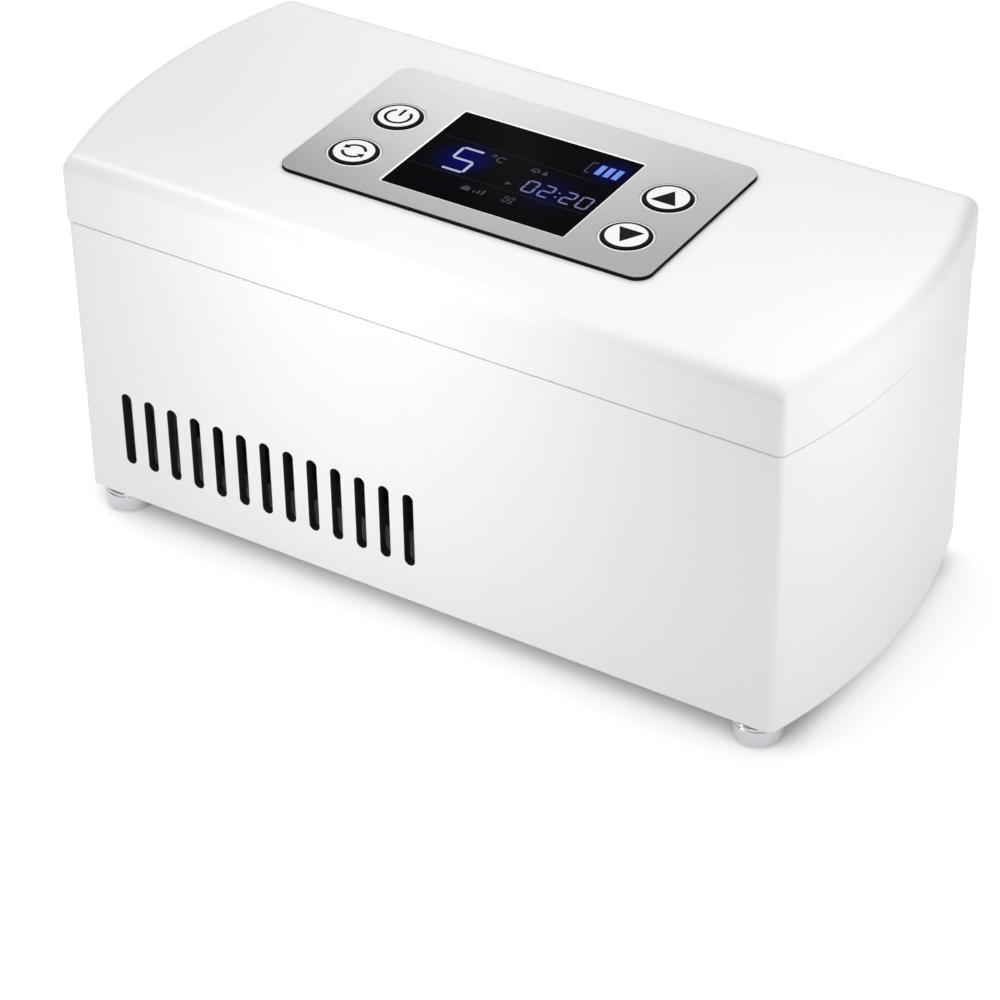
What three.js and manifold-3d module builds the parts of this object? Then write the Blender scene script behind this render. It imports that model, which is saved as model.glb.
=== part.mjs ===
// Insulin cooling case: a small thermoelectric cooler with a hinged lid, in millimetres.
// +Z is up, +X runs along the long front to the right, and -Y is the front.
// The origin lies on the surface that the feet stand on, under the middle of the case.

import * as THREE from 'three';
import { mergeVertices } from 'three/addons/utils/BufferGeometryUtils.js';
import Module from 'manifold-3d';

const wasm = await Module();
wasm.setup();

// Gaps that pieces keep to each other, and the length by which a cut runs past
const gap = 0.3;
const bond = 0.1;
const overrun = 6;

// Case: a box with flat front and back, and end faces that bow out
const shell = {
  length: 210,
  depth: 95.6,
  endBulge: 8.2,
  cornerRadius: 2.2,
  wall: 2.4,
  bodyHeight: 77,
  lidHeight: 17.4,
  lidEdgeRadius: 4.2,
  seamGap: 0.5,
  seamStep: 0.4,
};
const slotEndShare = 0.49;
const slotChordShare = 0.9;
const partRowShare = 0.28;

// Air slots in the front and the rear wall
const vent = { count: 13, width: 2.8, length: 20.5, centreHeight: 21.1 };
const ventRowShare = 0.392;
const ventEndShare = 0.0629;

// Feet: a turned metal foot with a threaded stud, and a rubber pad pressed in from below
const foot = {
  radius: 6.3,
  height: 6.5,
  inset: 6.8,
  edge: 0.6,
  padRadius: 4.6,
  padHeight: 1.8,
  padShows: 0.6,
  studRadius: 1.8,
  studLength: 11,
};

// Base plate and the posts on it
const basePlate = { thickness: 2.4, slotWidth: 3, slotCount: 7, slotPitch: 6 };

// Corner columns of the body, which take the foot studs and the deck screws
const column = { radius: 4.9, boreRadius: 1.5, boreDepth: 11 };

// Ledge inside the body, which carries the foam
const ledge = { width: 3, height: 2 };

// Cold chamber
const chamber = { endMargin: 19, sideMargin: 17.8, height: 26, cornerRadius: 5 };
const tray = { wall: 1.5, flangeWidth: 3.5, flangeThickness: 1.2 };
const foam = { floor: 6.5 };
const deck = { thickness: 3.5, below: 0.8 };

// Cooling stack under the chamber
const coldBlock = { side: 40, height: 9 };
const peltier = { side: 40, height: 3.8, plate: 0.8, coreInset: 1.2 };
const sink = { length: 72, depth: 70, base: 4, finHeight: 12, finThickness: 1.2, finCount: 15 };
const fan = {
  side: 60,
  thickness: 10,
  cornerRadius: 4,
  boreRadius: 28.2,
  hubRadius: 12.5,
  hubHeight: 7.6,
  hubWall: 1.4,
  bladeCount: 7,
  bladeThickness: 1.2,
  bladeChord: 11,
  tipGap: 0.8,
  strutWidth: 3,
  strutHeight: 1.6,
  holeInset: 5,
  holeRadius: 1.8,
  shaftRadius: 1.5,
  shaftGap: 0.15,
  postRadius: 3,
};
const bladePitchDegrees = 38;

// Battery: three round cells side by side in a holder
const cell = { boardMargin: 7.4, spacing: 2.2, count: 3, capRadius: 3.2, capHeight: 1 };
const cellRowShare = 0.6867;
const holder = { floor: 2, endWall: 2.5, height: 13, ribThickness: 1.4 };

// Main board with its chips and headers
const board = {
  fromMiddle: 3.78,
  endMargin: 10.22,
  sideMargin: 7,
  thickness: 1.6,
  postInset: 2.2,
  postRadius: 1.9,
  overCells: 3.6,
};
const chip = { length: 12, depth: 12, height: 1.8 };
const coil = { radius: 5.2, height: 4.6 };
const capacitor = { radius: 3.2, height: 4.8 };
const header = { length: 4.6, depth: 9, height: 4, pitch: 16.2 };

// Power inlet, a round socket that hangs under the rear edge of the main board
const inlet = {
  width: 9,
  depth: 11.5,
  height: 10,
  noseRadius: 4,
  boreRadius: 3.1,
  boreDepth: 9,
  pinRadius: 1,
};

// Temperature probe in a pocket under the tray
const probe = { length: 8, radius: 1.6, boardInset: 13.22, y: 8 };

// Lid pieces
const panel = { length: 99.6, depth: 55.8, thickness: 1.1, recess: 0.2, cornerRadius: 4, backward: 1.6 };
const display = { endMargin: 25, sideMargin: 9.25, forward: 0.8, lensThickness: 1, ledge: 2 };
const lcd = { endMargin: 1.7, sideMargin: 1.85, height: 3.2 };
const button = {
  radius: 5.9,
  proud: 0.35,
  edge: 0.35,
  travel: 0.6,
  sideGap: 0.25,
  collar: 0.5,
  flangeRadius: 7,
  flangeThickness: 1.2,
  endInset: 12.7,
  frontInset: 14.3,
  rearInset: 22.4,
};
const displayBoard = { endInset: 1.3, sideInset: 1.9, thickness: 1.6, holeInset: 4.4, bossRadius: 2.5 };
const tactSwitch = { side: 6, plungerRadius: 1.6, plungerHeight: 0.6, play: 0.1 };
const liner = { thickness: 2, raise: 0.3, plugDepth: 3, plugGap: 1 };
const lidFoam = { thickness: 5.5 };
const lidBoss = { radius: 3, boreRadius: 1.2, boreDepth: 7, endInset: 14.8, sideInset: 8.3 };
const gasket = { margin: 2.4, width: 3.4, groove: 0.6 };

// Screws: plain cylinder heads on plain shanks
const deckScrew = { shankRadius: 1.3, shankLength: 9, headRadius: 2.6, headHeight: 1.8 };
const lidScrew = { shankRadius: 1, shankLength: 6.5, headRadius: 2.1, headHeight: 1.3 };

// Moulded pegs that pass through a circuit board and are melted over
const stake = { radius: 0.95, stands: 0.9 };

// Magnets that hold the lid shut
const magnet = { radius: 4, height: 1.6, endInset: 26.8, wallDistance: 6, skin: 0.8 };

// Hinge: moulded knuckles on steel pins, in a groove along the rear of the seam
const hinge = {
  endInset: 41.8,
  axisInset: 3.2,
  knuckleRadius: 3,
  lidKnuckle: 16,
  bodyKnuckle: 8,
  pinRadius: 1.25,
  pinGap: 0.15,
  webHeight: 4.2,
  webReach: 0.4,
};
const grooveDegrees = 50;

// Insulated leads
const lead = { radius: 0.75, bend: 5, notch: 8 };

// Facet counts
const arcSegments = 6;
const roundSegments = 18;
const smallSegments = 10;
const edgeSegments = 3;
const cornerSegments = 2;
const slotSegments = 1;
const leadSides = 8;
const leadSteps = 9;

// Heights and places worked out from the sizes
const halfLength = shell.length / 2;
const halfDepth = shell.depth / 2;
const bottomZ = foot.height;
const rimZ = bottomZ + shell.bodyHeight;
const lidZ = rimZ + shell.seamGap;
const topZ = lidZ + shell.lidHeight;
const ceilingZ = topZ - shell.wall;
const bodyInset = shell.seamStep + shell.wall;
const innerHalfDepth = halfDepth - bodyInset;
const cornerX = halfLength - shell.endBulge;
const endWallX = cornerX - bodyInset;
const chamberLength = shell.length - 2 * chamber.endMargin;
const chamberDepth = shell.depth - 2 * chamber.sideMargin;
const hingeX = cornerX - hinge.endInset;
const lidBossX = cornerX - lidBoss.endInset;
const lidBossY = halfDepth - lidBoss.sideInset;
const magnetX = cornerX - magnet.endInset;

const plateTopZ = bottomZ + gap + basePlate.thickness;
const deckTopZ = rimZ - deck.below;
const deckBottomZ = deckTopZ - deck.thickness;
const foamTopZ = deckBottomZ - gap;
const trayTopZ = foamTopZ;
const trayFloorZ = trayTopZ - chamber.height;
const trayBottomZ = trayFloorZ - tray.wall;
const foamBottomZ = trayBottomZ - gap - foam.floor;
const blockTopZ = trayBottomZ - gap;
const peltierTopZ = blockTopZ - coldBlock.height - gap;
const sinkTopZ = peltierTopZ - peltier.height - gap;
const finBottomZ = sinkTopZ - sink.base - sink.finHeight;
const fanTopZ = finBottomZ - gap;
const fanBottomZ = fanTopZ - fan.thickness;

const ventPitch = (shell.length * ventRowShare) / (vent.count - 1);
const ventFirstX = -cornerX + shell.length * ventEndShare;
const coolerX = ventFirstX + (ventPitch * (vent.count - 1)) / 2;
const sinkEndX = coolerX + sink.length / 2;
const boardLength = endWallX - board.endMargin - board.fromMiddle;
const electricsX = board.fromMiddle + boardLength / 2;
const boardDepth = 2 * (innerHalfDepth - board.sideMargin);
const cellLength = boardLength - 2 * cell.boardMargin;
const cellPitch = (2 * innerHalfDepth * cellRowShare) / cell.count;
const cellRadius = (cellPitch - cell.spacing) / 2;
const cellZ = plateTopZ + gap + holder.floor + gap + cellRadius;
const boardBottomZ = cellZ + cellRadius + board.overCells;
const boardTopZ = boardBottomZ + board.thickness;
const boardLeftX = electricsX - boardLength / 2;
const probeX = boardLeftX + probe.boardInset;

const displayLength = panel.length - 2 * display.endMargin;
const displayDepth = panel.depth - 2 * display.sideMargin;
const displayY = -display.forward;
const buttonX = panel.length / 2 - button.endInset;
const buttonFrontY = panel.backward - panel.depth / 2 + button.frontInset;
const buttonRearY = panel.backward + panel.depth / 2 - button.rearInset;
const displayBoardLength = panel.length - 2 * displayBoard.endInset;
const displayBoardDepth = panel.depth - 2 * displayBoard.sideInset;
const recessZ = topZ - panel.recess;
const panelBottomZ = recessZ + bond;
const panelTopZ = panelBottomZ + panel.thickness;
const buttonFlangeTopZ = ceilingZ - gap;
const buttonBottomZ = buttonFlangeTopZ - button.flangeThickness;
const lcdTopZ = ceilingZ - gap;
const lcdBottomZ = lcdTopZ - lcd.height;
const displayBoardTopZ = lcdBottomZ - gap;
const displayBoardBottomZ = displayBoardTopZ - displayBoard.thickness;
const linerBottomZ = lidZ + liner.raise;
const linerTopZ = linerBottomZ + liner.thickness;
const lidFoamBottomZ = linerTopZ + gap;
const lidFoamTopZ = lidFoamBottomZ + lidFoam.thickness;
const buttonHoleRadius = button.radius + button.sideGap;
const collarRadius = buttonHoleRadius + button.collar;

const axisY = halfDepth - hinge.axisInset;
const axisZ = rimZ + shell.seamGap / 2;
const inletX = electricsX + boardLength / 4;
const inletZ = boardBottomZ - gap - inlet.height / 2;
const inletFrontY = innerHalfDepth - gap - inlet.depth;
const headerX = boardLeftX + header.length;
const magnetY = -innerHalfDepth + magnet.wallDistance;
const magnetTopZ = linerBottomZ + magnet.skin + bond + magnet.height;

const finishes = {
  whiteCase: { color: 0xf3f4f5, roughness: 0.38, metalness: 0 },
  whiteInner: { color: 0xe9eaeb, roughness: 0.5, metalness: 0 },
  silverPanel: { color: 0xc3c5c8, roughness: 0.35, metalness: 0.7 },
  darkGlass: { color: 0x07080d, roughness: 0.08, metalness: 0 },
  keyWhite: { color: 0xf5f5f5, roughness: 0.4, metalness: 0 },
  bright: { color: 0xd5d7da, roughness: 0.18, metalness: 1 },
  aluminium: { color: 0xbfc2c6, roughness: 0.4, metalness: 1 },
  steel: { color: 0x9a9da1, roughness: 0.3, metalness: 1 },
  rubber: { color: 0x1c1c1e, roughness: 0.85, metalness: 0 },
  silicone: { color: 0xc9cdd1, roughness: 0.7, metalness: 0 },
  foam: { color: 0xdfe3e6, roughness: 0.95, metalness: 0 },
  blackPlastic: { color: 0x17181a, roughness: 0.5, metalness: 0 },
  ceramic: { color: 0xe8e6e0, roughness: 0.6, metalness: 0 },
  board: { color: 0x14532f, roughness: 0.45, metalness: 0 },
  cellWrap: { color: 0x2f6db0, roughness: 0.4, metalness: 0 },
  leadRed: { color: 0xb01c1c, roughness: 0.5, metalness: 0 },
  leadBlack: { color: 0x151515, roughness: 0.5, metalness: 0 },
  leadGrey: { color: 0x8a8f96, roughness: 0.5, metalness: 0 },
};

const model = new THREE.Group();

/** Turns a closed geometry into a solid, with its faces pointing out. */
function toSolid(geometry) {
  const bare = geometry.clone();
  bare.deleteAttribute('normal');
  bare.deleteAttribute('uv');
  const merged = mergeVertices(bare);
  const points = merged.attributes.position;
  const corners = merged.index.array;
  const a = new THREE.Vector3();
  const b = new THREE.Vector3();
  const c = new THREE.Vector3();
  const kept = [];
  let volume = 0;
  for (let i = 0; i < corners.length; i += 3) {
    const [p, q, r] = [corners[i], corners[i + 1], corners[i + 2]];
    if (p === q || q === r || r === p) continue;
    kept.push(p, q, r);
    a.fromBufferAttribute(points, p);
    b.fromBufferAttribute(points, q);
    c.fromBufferAttribute(points, r);
    volume += a.dot(b.cross(c));
  }
  if (volume < 0) kept.reverse();
  const mesh = new wasm.Mesh({
    numProp: 3,
    vertProperties: new Float32Array(points.array),
    triVerts: new Uint32Array(kept),
  });
  return new wasm.Manifold(mesh);
}

/** Adds solids together. */
function join(first, ...others) {
  return others.reduce((sum, solid) => sum.add(solid), first);
}

/** Takes solids away from the first one. */
function cut(first, ...others) {
  return others.reduce((rest, solid) => rest.subtract(solid), first);
}

/** Adds a solid to the model as a named mesh with its own material. */
function addPiece(group, name, solid, finish) {
  const { vertProperties, triVerts } = solid.getMesh();
  const geometry = new THREE.BufferGeometry();
  geometry.setAttribute('position', new THREE.BufferAttribute(vertProperties, 3));
  geometry.setIndex(new THREE.BufferAttribute(triVerts, 1));
  geometry.computeVertexNormals();
  const mesh = new THREE.Mesh(geometry, new THREE.MeshStandardMaterial(finish));
  mesh.name = name;
  group.add(mesh);
  return mesh;
}

/** A box between two corners. */
function box(x0, x1, y0, y1, z0, z1) {
  const geometry = new THREE.BoxGeometry(x1 - x0, y1 - y0, z1 - z0);
  geometry.translate((x0 + x1) / 2, (y0 + y1) / 2, (z0 + z1) / 2);
  return toSolid(geometry);
}

/** A box centred on a place in plan, between two heights. */
function slab(x, y, length, depth, z0, z1) {
  return box(x - length / 2, x + length / 2, y - depth / 2, y + depth / 2, z0, z1);
}

/** Two heights moved apart, so that a cut between them runs past both faces. */
function past(z0, z1) {
  return [z0 - overrun, z1 + overrun];
}

/** An upright cylinder. */
function post(x, y, radius, z0, z1, segments = smallSegments) {
  const geometry = new THREE.CylinderGeometry(radius, radius, z1 - z0, segments);
  geometry.rotateX(Math.PI / 2);
  geometry.translate(x, y, (z0 + z1) / 2);
  return toSolid(geometry);
}

/** A cylinder along X. */
function rodX(x0, x1, y, z, radius, segments = smallSegments) {
  const geometry = new THREE.CylinderGeometry(radius, radius, x1 - x0, segments);
  geometry.rotateZ(Math.PI / 2);
  geometry.translate((x0 + x1) / 2, y, z);
  return toSolid(geometry);
}

/** A cylinder along Y. */
function rodY(x, y0, y1, z, radius, segments = smallSegments) {
  const geometry = new THREE.CylinderGeometry(radius, radius, y1 - y0, segments);
  geometry.translate(x, (y0 + y1) / 2, z);
  return toSolid(geometry);
}

/** A turned solid about an upright axis, from radius and height pairs. */
function turned(x, y, profile, segments = roundSegments) {
  const points = profile.map(([radius, z]) => new THREE.Vector2(radius, z));
  const geometry = new THREE.LatheGeometry(points, segments);
  geometry.rotateX(Math.PI / 2);
  geometry.translate(x, y, 0);
  return toSolid(geometry);
}

/** The points of an arc; first is 0, or 1 to leave out the point at which it starts. */
function arcPoints(x, y, radius, start, end, first) {
  const points = [];
  for (let i = first; i <= arcSegments; i += 1) {
    const angle = start + ((end - start) * i) / arcSegments;
    points.push(new THREE.Vector2(x + radius * Math.cos(angle), y + radius * Math.sin(angle)));
  }
  return points;
}

/** The plan outline of the case, drawn in from its outer faces by an inset. */
function caseOutline(inset) {
  const endRadius = (halfDepth ** 2 + shell.endBulge ** 2) / (2 * shell.endBulge);
  const centre = halfLength - endRadius;
  const big = endRadius - inset;
  const small = shell.cornerRadius;
  const side = halfDepth - inset - small;
  const turn = Math.asin(side / (big - small));
  const x = centre + (big - small) * Math.cos(turn);
  return [
    ...arcPoints(centre, 0, big, -turn, turn, 1),
    ...arcPoints(x, side, small, turn, Math.PI / 2, 1),
    ...arcPoints(-x, side, small, Math.PI / 2, Math.PI - turn, 0),
    ...arcPoints(-centre, 0, big, Math.PI - turn, Math.PI + turn, 1),
    ...arcPoints(-x, -side, small, Math.PI + turn, 1.5 * Math.PI, 1),
    ...arcPoints(x, -side, small, 1.5 * Math.PI, 2 * Math.PI - turn, 0),
  ];
}

/** A block with the plan outline of the case and a rounded top edge. */
function roundedTopBlock(z0, z1, edge) {
  const rings = [[0, z0]];
  for (let i = 0; i <= edgeSegments; i += 1) {
    const turn = (Math.PI / 2) * (i / edgeSegments);
    rings.push([edge * (1 - Math.cos(turn)), z1 - edge + edge * Math.sin(turn)]);
  }
  const loops = rings.map(([inset]) => caseOutline(inset));
  const size = loops[0].length;
  const positions = [];
  const indices = [];
  loops.forEach((loop, k) => loop.forEach(({ x, y }) => positions.push(x, y, rings[k][1])));
  for (let k = 0; k + 1 < loops.length; k += 1) {
    for (let i = 0; i < size; i += 1) {
      const a = k * size + i;
      const b = k * size + ((i + 1) % size);
      indices.push(a, b, b + size, a, b + size, a + size);
    }
  }
  const last = (loops.length - 1) * size;
  for (const [a, b, c] of THREE.ShapeUtils.triangulateShape(loops[0], [])) indices.push(a, c, b);
  for (const [a, b, c] of THREE.ShapeUtils.triangulateShape(loops.at(-1), [])) {
    indices.push(last + a, last + b, last + c);
  }
  const geometry = new THREE.BufferGeometry();
  geometry.setAttribute('position', new THREE.Float32BufferAttribute(positions, 3));
  geometry.setIndex(indices);
  return toSolid(geometry);
}

/** A block with the plan outline of the case. */
function caseBlock(inset, z0, z1) {
  const settings = { depth: z1 - z0, bevelEnabled: false };
  const geometry = new THREE.ExtrudeGeometry(new THREE.Shape(caseOutline(inset)), settings);
  geometry.translate(0, 0, z0);
  return toSolid(geometry);
}

/** A rectangle with round corners. */
function roundedRectangle(length, depth, radius) {
  const x = length / 2 - radius;
  const y = depth / 2 - radius;
  const outline = new THREE.Shape();
  outline.absarc(x, y, radius, 0, Math.PI / 2);
  outline.absarc(-x, y, radius, Math.PI / 2, Math.PI);
  outline.absarc(-x, -y, radius, Math.PI, 1.5 * Math.PI);
  outline.absarc(x, -y, radius, 1.5 * Math.PI, 2 * Math.PI);
  return outline;
}

/** A block whose plan is a rectangle with round corners. */
function roundedBlock(x, y, length, depth, radius, z0, z1) {
  const settings = { depth: z1 - z0, bevelEnabled: false, curveSegments: cornerSegments };
  const geometry = new THREE.ExtrudeGeometry(roundedRectangle(length, depth, radius), settings);
  geometry.translate(x, y, z0);
  return toSolid(geometry);
}

/** An upright slot with round ends, along Y. */
function slotAlongY(x, y0, y1, z, width, length) {
  const outline = roundedRectangle(width, length, width * slotEndShare);
  const settings = { depth: y1 - y0, bevelEnabled: false, curveSegments: slotSegments };
  const geometry = new THREE.ExtrudeGeometry(outline, settings);
  geometry.rotateX(Math.PI / 2);
  geometry.translate(x, y1, z);
  return toSolid(geometry);
}

/** A tube of even section through a row of points. */
function tubeThrough(points, radius) {
  const section = new THREE.Shape();
  for (let i = 0; i < leadSides; i += 1) {
    const angle = (2 * Math.PI * i) / leadSides;
    const [x, y] = [radius * Math.cos(angle), radius * Math.sin(angle)];
    if (i === 0) section.moveTo(x, y);
    else section.lineTo(x, y);
  }
  section.closePath();
  const path = new THREE.CatmullRomCurve3(points.map(([x, y, z]) => new THREE.Vector3(x, y, z)));
  return toSolid(new THREE.ExtrudeGeometry(section, { steps: leadSteps, extrudePath: path }));
}

/** The middle of a header in the row along the left edge of the main board. */
function headerY(index) {
  return (index - 1) * header.pitch;
}

/** The four corners of a plan rectangle about the middle of the case. */
function corners(x, y) {
  return [[-x, -y], [x, -y], [-x, y], [x, y]];
}

/** A screw with its head at the given height; up is 1 for a head above the shank and -1 below. */
function screw(x, y, headZ, up, size) {
  const headEnd = headZ + up * size.headHeight;
  const shankEnd = headZ - up * size.shankLength;
  const head = post(x, y, size.headRadius, Math.min(headZ, headEnd), Math.max(headZ, headEnd));
  const ends = [Math.min(headEnd, shankEnd), Math.max(headEnd, shankEnd)];
  const shank = post(x, y, size.shankRadius, ...ends);
  return join(head, shank);
}

/** The stretches of the hinge line that the lid and the body hold, for both hinges. */
function hingeStretches() {
  const lidSpans = [];
  const bodySpans = [];
  for (const x of [-hingeX, hingeX]) {
    const half = hinge.lidKnuckle / 2;
    lidSpans.push([x - half, x + half]);
    bodySpans.push([x - half - gap - hinge.bodyKnuckle, x - half - gap]);
    bodySpans.push([x + half + gap, x + half + gap + hinge.bodyKnuckle]);
  }
  return { lidSpans, bodySpans };
}

/** Room for a knuckle and its web, cut out of the other side; up is 1 above the seam, -1 below. */
function knuckleRoom([x0, x1], up) {
  const radius = hinge.knuckleRadius + gap;
  const barrel = rodX(x0 - gap, x1 + gap, axisY, axisZ, radius, roundSegments);
  const z0 = Math.min(axisZ, axisZ + up * (hinge.webHeight + gap));
  const z1 = Math.max(axisZ, axisZ + up * (hinge.webHeight + gap));
  const web = box(x0 - gap, x1 + gap, axisY - radius, halfDepth + overrun, z0, z1);
  return { barrel, web };
}

/** A knuckle with the web that ties it to its rear wall. */
function knuckle([x0, x1], up) {
  const barrel = rodX(x0, x1, axisY, axisZ, hinge.knuckleRadius, roundSegments);
  const z0 = Math.min(axisZ, axisZ + up * hinge.webHeight);
  const z1 = Math.max(axisZ, axisZ + up * hinge.webHeight);
  const wallInnerY = up > 0 ? halfDepth - shell.wall : innerHalfDepth;
  const web = box(x0, x1, axisY - hinge.knuckleRadius, wallInnerY + hinge.webReach, z0, z1);
  return join(barrel, web);
}

/** The groove behind the hinge line that lets the lid swing past upright. */
function rearGroove(up) {
  const reach = hinge.axisInset + overrun;
  const rise = reach * Math.tan(THREE.MathUtils.degToRad(grooveDegrees));
  const outline = new THREE.Shape();
  outline.moveTo(0, 0);
  outline.lineTo(reach, up * rise);
  outline.lineTo(reach, -up * overrun);
  outline.lineTo(0, -up * overrun);
  outline.closePath();
  const settings = { depth: shell.length + 2 * overrun, bevelEnabled: false };
  const geometry = new THREE.ExtrudeGeometry(outline, settings);
  geometry.rotateX(Math.PI / 2);
  geometry.rotateZ(Math.PI / 2);
  geometry.translate(-halfLength - overrun, axisY, axisZ);
  return toSolid(geometry);
}

/** The bores for both hinge pins. */
function pinBores() {
  const half = hinge.lidKnuckle / 2 + hinge.bodyKnuckle + gap + overrun;
  const radius = hinge.pinRadius + hinge.pinGap;
  return [-hingeX, hingeX].map((x) => rodX(x - half, x + half, axisY, axisZ, radius));
}

/** Room for the leads that cross the seam along the hinge line. */
function leadNotch(z0, z1) {
  return box(-lead.notch, lead.notch, axisY - hinge.knuckleRadius, axisY + lead.radius + gap, z0, z1);
}

/** The same room, open to the rear, in a plate that ends inside the wall. */
function leadSlot(z0, z1) {
  return box(-lead.notch, lead.notch, axisY - hinge.knuckleRadius, halfDepth, z0, z1);
}

const footPlaces = corners(cornerX - foot.inset, halfDepth - foot.inset);
const cornerNames = ['front_left', 'front_right', 'rear_left', 'rear_right'];
const { lidSpans, bodySpans } = hingeStretches();

// Body shell
function makeBodyShell() {
  const outside = caseBlock(shell.seamStep, bottomZ, rimZ);
  const hollow = caseBlock(bodyInset, ...past(bottomZ, rimZ));
  const ledgeTopZ = foamBottomZ - gap;
  const ledgeRing = cut(
    caseBlock(bodyInset - bond, ledgeTopZ - ledge.height, ledgeTopZ),
    caseBlock(bodyInset + ledge.width, ...past(ledgeTopZ, ledgeTopZ)),
  );
  let body = join(cut(outside, hollow), ledgeRing);
  for (const [x, y] of footPlaces) {
    const z0 = plateTopZ + gap;
    const z1 = deckBottomZ - gap;
    body = join(body, post(x, y, column.radius, z0, z1, roundSegments).intersect(outside));
    body = cut(
      body,
      post(x, y, foot.studRadius + bond, z0 - overrun, z0 + column.boreDepth),
      post(x, y, column.boreRadius, z1 - column.boreDepth, z1 + overrun),
    );
  }
  const slotZ = bottomZ + vent.centreHeight;
  for (let i = 0; i < vent.count; i += 1) {
    const x = ventFirstX + i * ventPitch;
    for (const side of [-1, 1]) {
      const y0 = Math.min(side * (innerHalfDepth - bond), side * (halfDepth + overrun));
      const y1 = Math.max(side * (innerHalfDepth - bond), side * (halfDepth + overrun));
      body = cut(body, slotAlongY(x, y0, y1, slotZ, vent.width, vent.length));
    }
  }
  const inletHole = inlet.noseRadius + gap;
  body = cut(body, rodY(inletX, innerHalfDepth - bond, halfDepth + overrun, inletZ, inletHole));
  body = cut(body, leadNotch(...past(ledgeTopZ - ledge.height, rimZ)));
  body = cut(body, rearGroove(-1));
  for (const span of lidSpans) body = cut(body, knuckleRoom(span, 1).barrel);
  for (const span of bodySpans) body = join(body, knuckle(span, -1));
  return cut(body, ...pinBores());
}

/** The screw holes of the fan frame. */
function fanHoles() {
  const side = fan.side / 2 - fan.holeInset;
  return corners(side, side).map(([x, y]) => [coolerX + x, y]);
}

/** The holes in the main board for its stakes. */
function boardHoles() {
  const x = boardLength / 2 - board.postInset;
  const y = boardDepth / 2 - board.postInset;
  return corners(x, y).map(([cx, cy]) => [electricsX + cx, cy]);
}

// Base plate with the intake slots under the fan, the fan posts and the board posts
function makeBasePlate() {
  let plate = caseBlock(bodyInset + gap, bottomZ + gap, plateTopZ);
  for (const [x, y] of footPlaces) {
    plate = cut(plate, post(x, y, foot.studRadius + gap, ...past(bottomZ, plateTopZ)));
  }
  const spread = (basePlate.slotCount - 1) / 2;
  for (let i = -spread; i <= spread; i += 1) {
    const y = i * basePlate.slotPitch;
    const chord = Math.sqrt(Math.max(fan.boreRadius ** 2 - y ** 2, 0));
    const length = 2 * chord * slotChordShare;
    plate = cut(plate, slab(coolerX, y, length, basePlate.slotWidth, ...past(bottomZ, plateTopZ)));
  }
  for (const [x, y] of fanHoles()) {
    plate = join(plate, post(x, y, fan.postRadius, plateTopZ - bond, fanBottomZ - gap));
  }
  for (const [x, y] of boardHoles()) {
    plate = join(
      plate,
      post(x, y, board.postRadius, plateTopZ - bond, boardBottomZ - gap),
      post(x, y, stake.radius, plateTopZ, boardTopZ + stake.stands),
    );
  }
  return plate;
}

// Feet and their rubber pads
function makeFoot(x, y) {
  const padTop = foot.padHeight + gap;
  const top = bottomZ - gap;
  const low = foot.padShows;
  const socket = foot.padRadius + bond;
  return turned(x, y, [
    [0, padTop],
    [socket, padTop],
    [socket, low],
    [foot.radius - foot.edge, low],
    [foot.radius, low + foot.edge],
    [foot.radius, top - foot.edge],
    [foot.radius - foot.edge, top],
    [foot.studRadius, top],
    [foot.studRadius, top + foot.studLength],
    [0, top + foot.studLength],
  ]);
}

function makeFootPad(x, y) {
  return post(x, y, foot.padRadius, 0, foot.padHeight);
}

// Cold chamber: an aluminium tray with a flange, in a foam block, under a plastic deck
/** A block with the plan of the chamber, widened all round by a margin. */
function chamberBlock(margin, z0, z1) {
  const length = chamberLength + 2 * margin;
  const depth = chamberDepth + 2 * margin;
  return roundedBlock(0, 0, length, depth, chamber.cornerRadius + Math.max(margin, 0), z0, z1);
}

function makeColdTray() {
  const flange = tray.wall + tray.flangeWidth;
  const tub = chamberBlock(tray.wall, trayBottomZ, trayTopZ);
  const rim = chamberBlock(flange, trayTopZ - tray.flangeThickness, trayTopZ);
  return cut(join(tub, rim), chamberBlock(0, trayFloorZ, trayTopZ + overrun));
}

function makeFoamBlock() {
  const flange = tray.wall + tray.flangeWidth;
  const seatZ = trayTopZ - tray.flangeThickness - gap;
  const well = coldBlock.side + 2 * gap;
  let block = caseBlock(bodyInset + gap, foamBottomZ, foamTopZ);
  block = cut(
    block,
    chamberBlock(tray.wall + gap, trayBottomZ - gap, foamTopZ + overrun),
    chamberBlock(flange + gap, seatZ, foamTopZ + overrun),
    slab(coolerX, 0, well, well, foamBottomZ - overrun, trayBottomZ + gap),
  );
  for (const [x, y] of footPlaces) {
    const room = column.radius + gap;
    block = cut(block, post(x, y, room, ...past(foamBottomZ, foamTopZ), roundSegments));
  }
  const pocket = probe.radius + gap;
  return cut(
    block,
    slab(probeX, probe.y, probe.length + 2 * gap, 2 * pocket, blockTopZ - 2 * pocket, trayBottomZ + gap),
    post(probeX, probe.y, lead.radius + gap, foamBottomZ - overrun, trayBottomZ),
    leadSlot(...past(foamBottomZ, foamTopZ)),
  );
}

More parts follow.
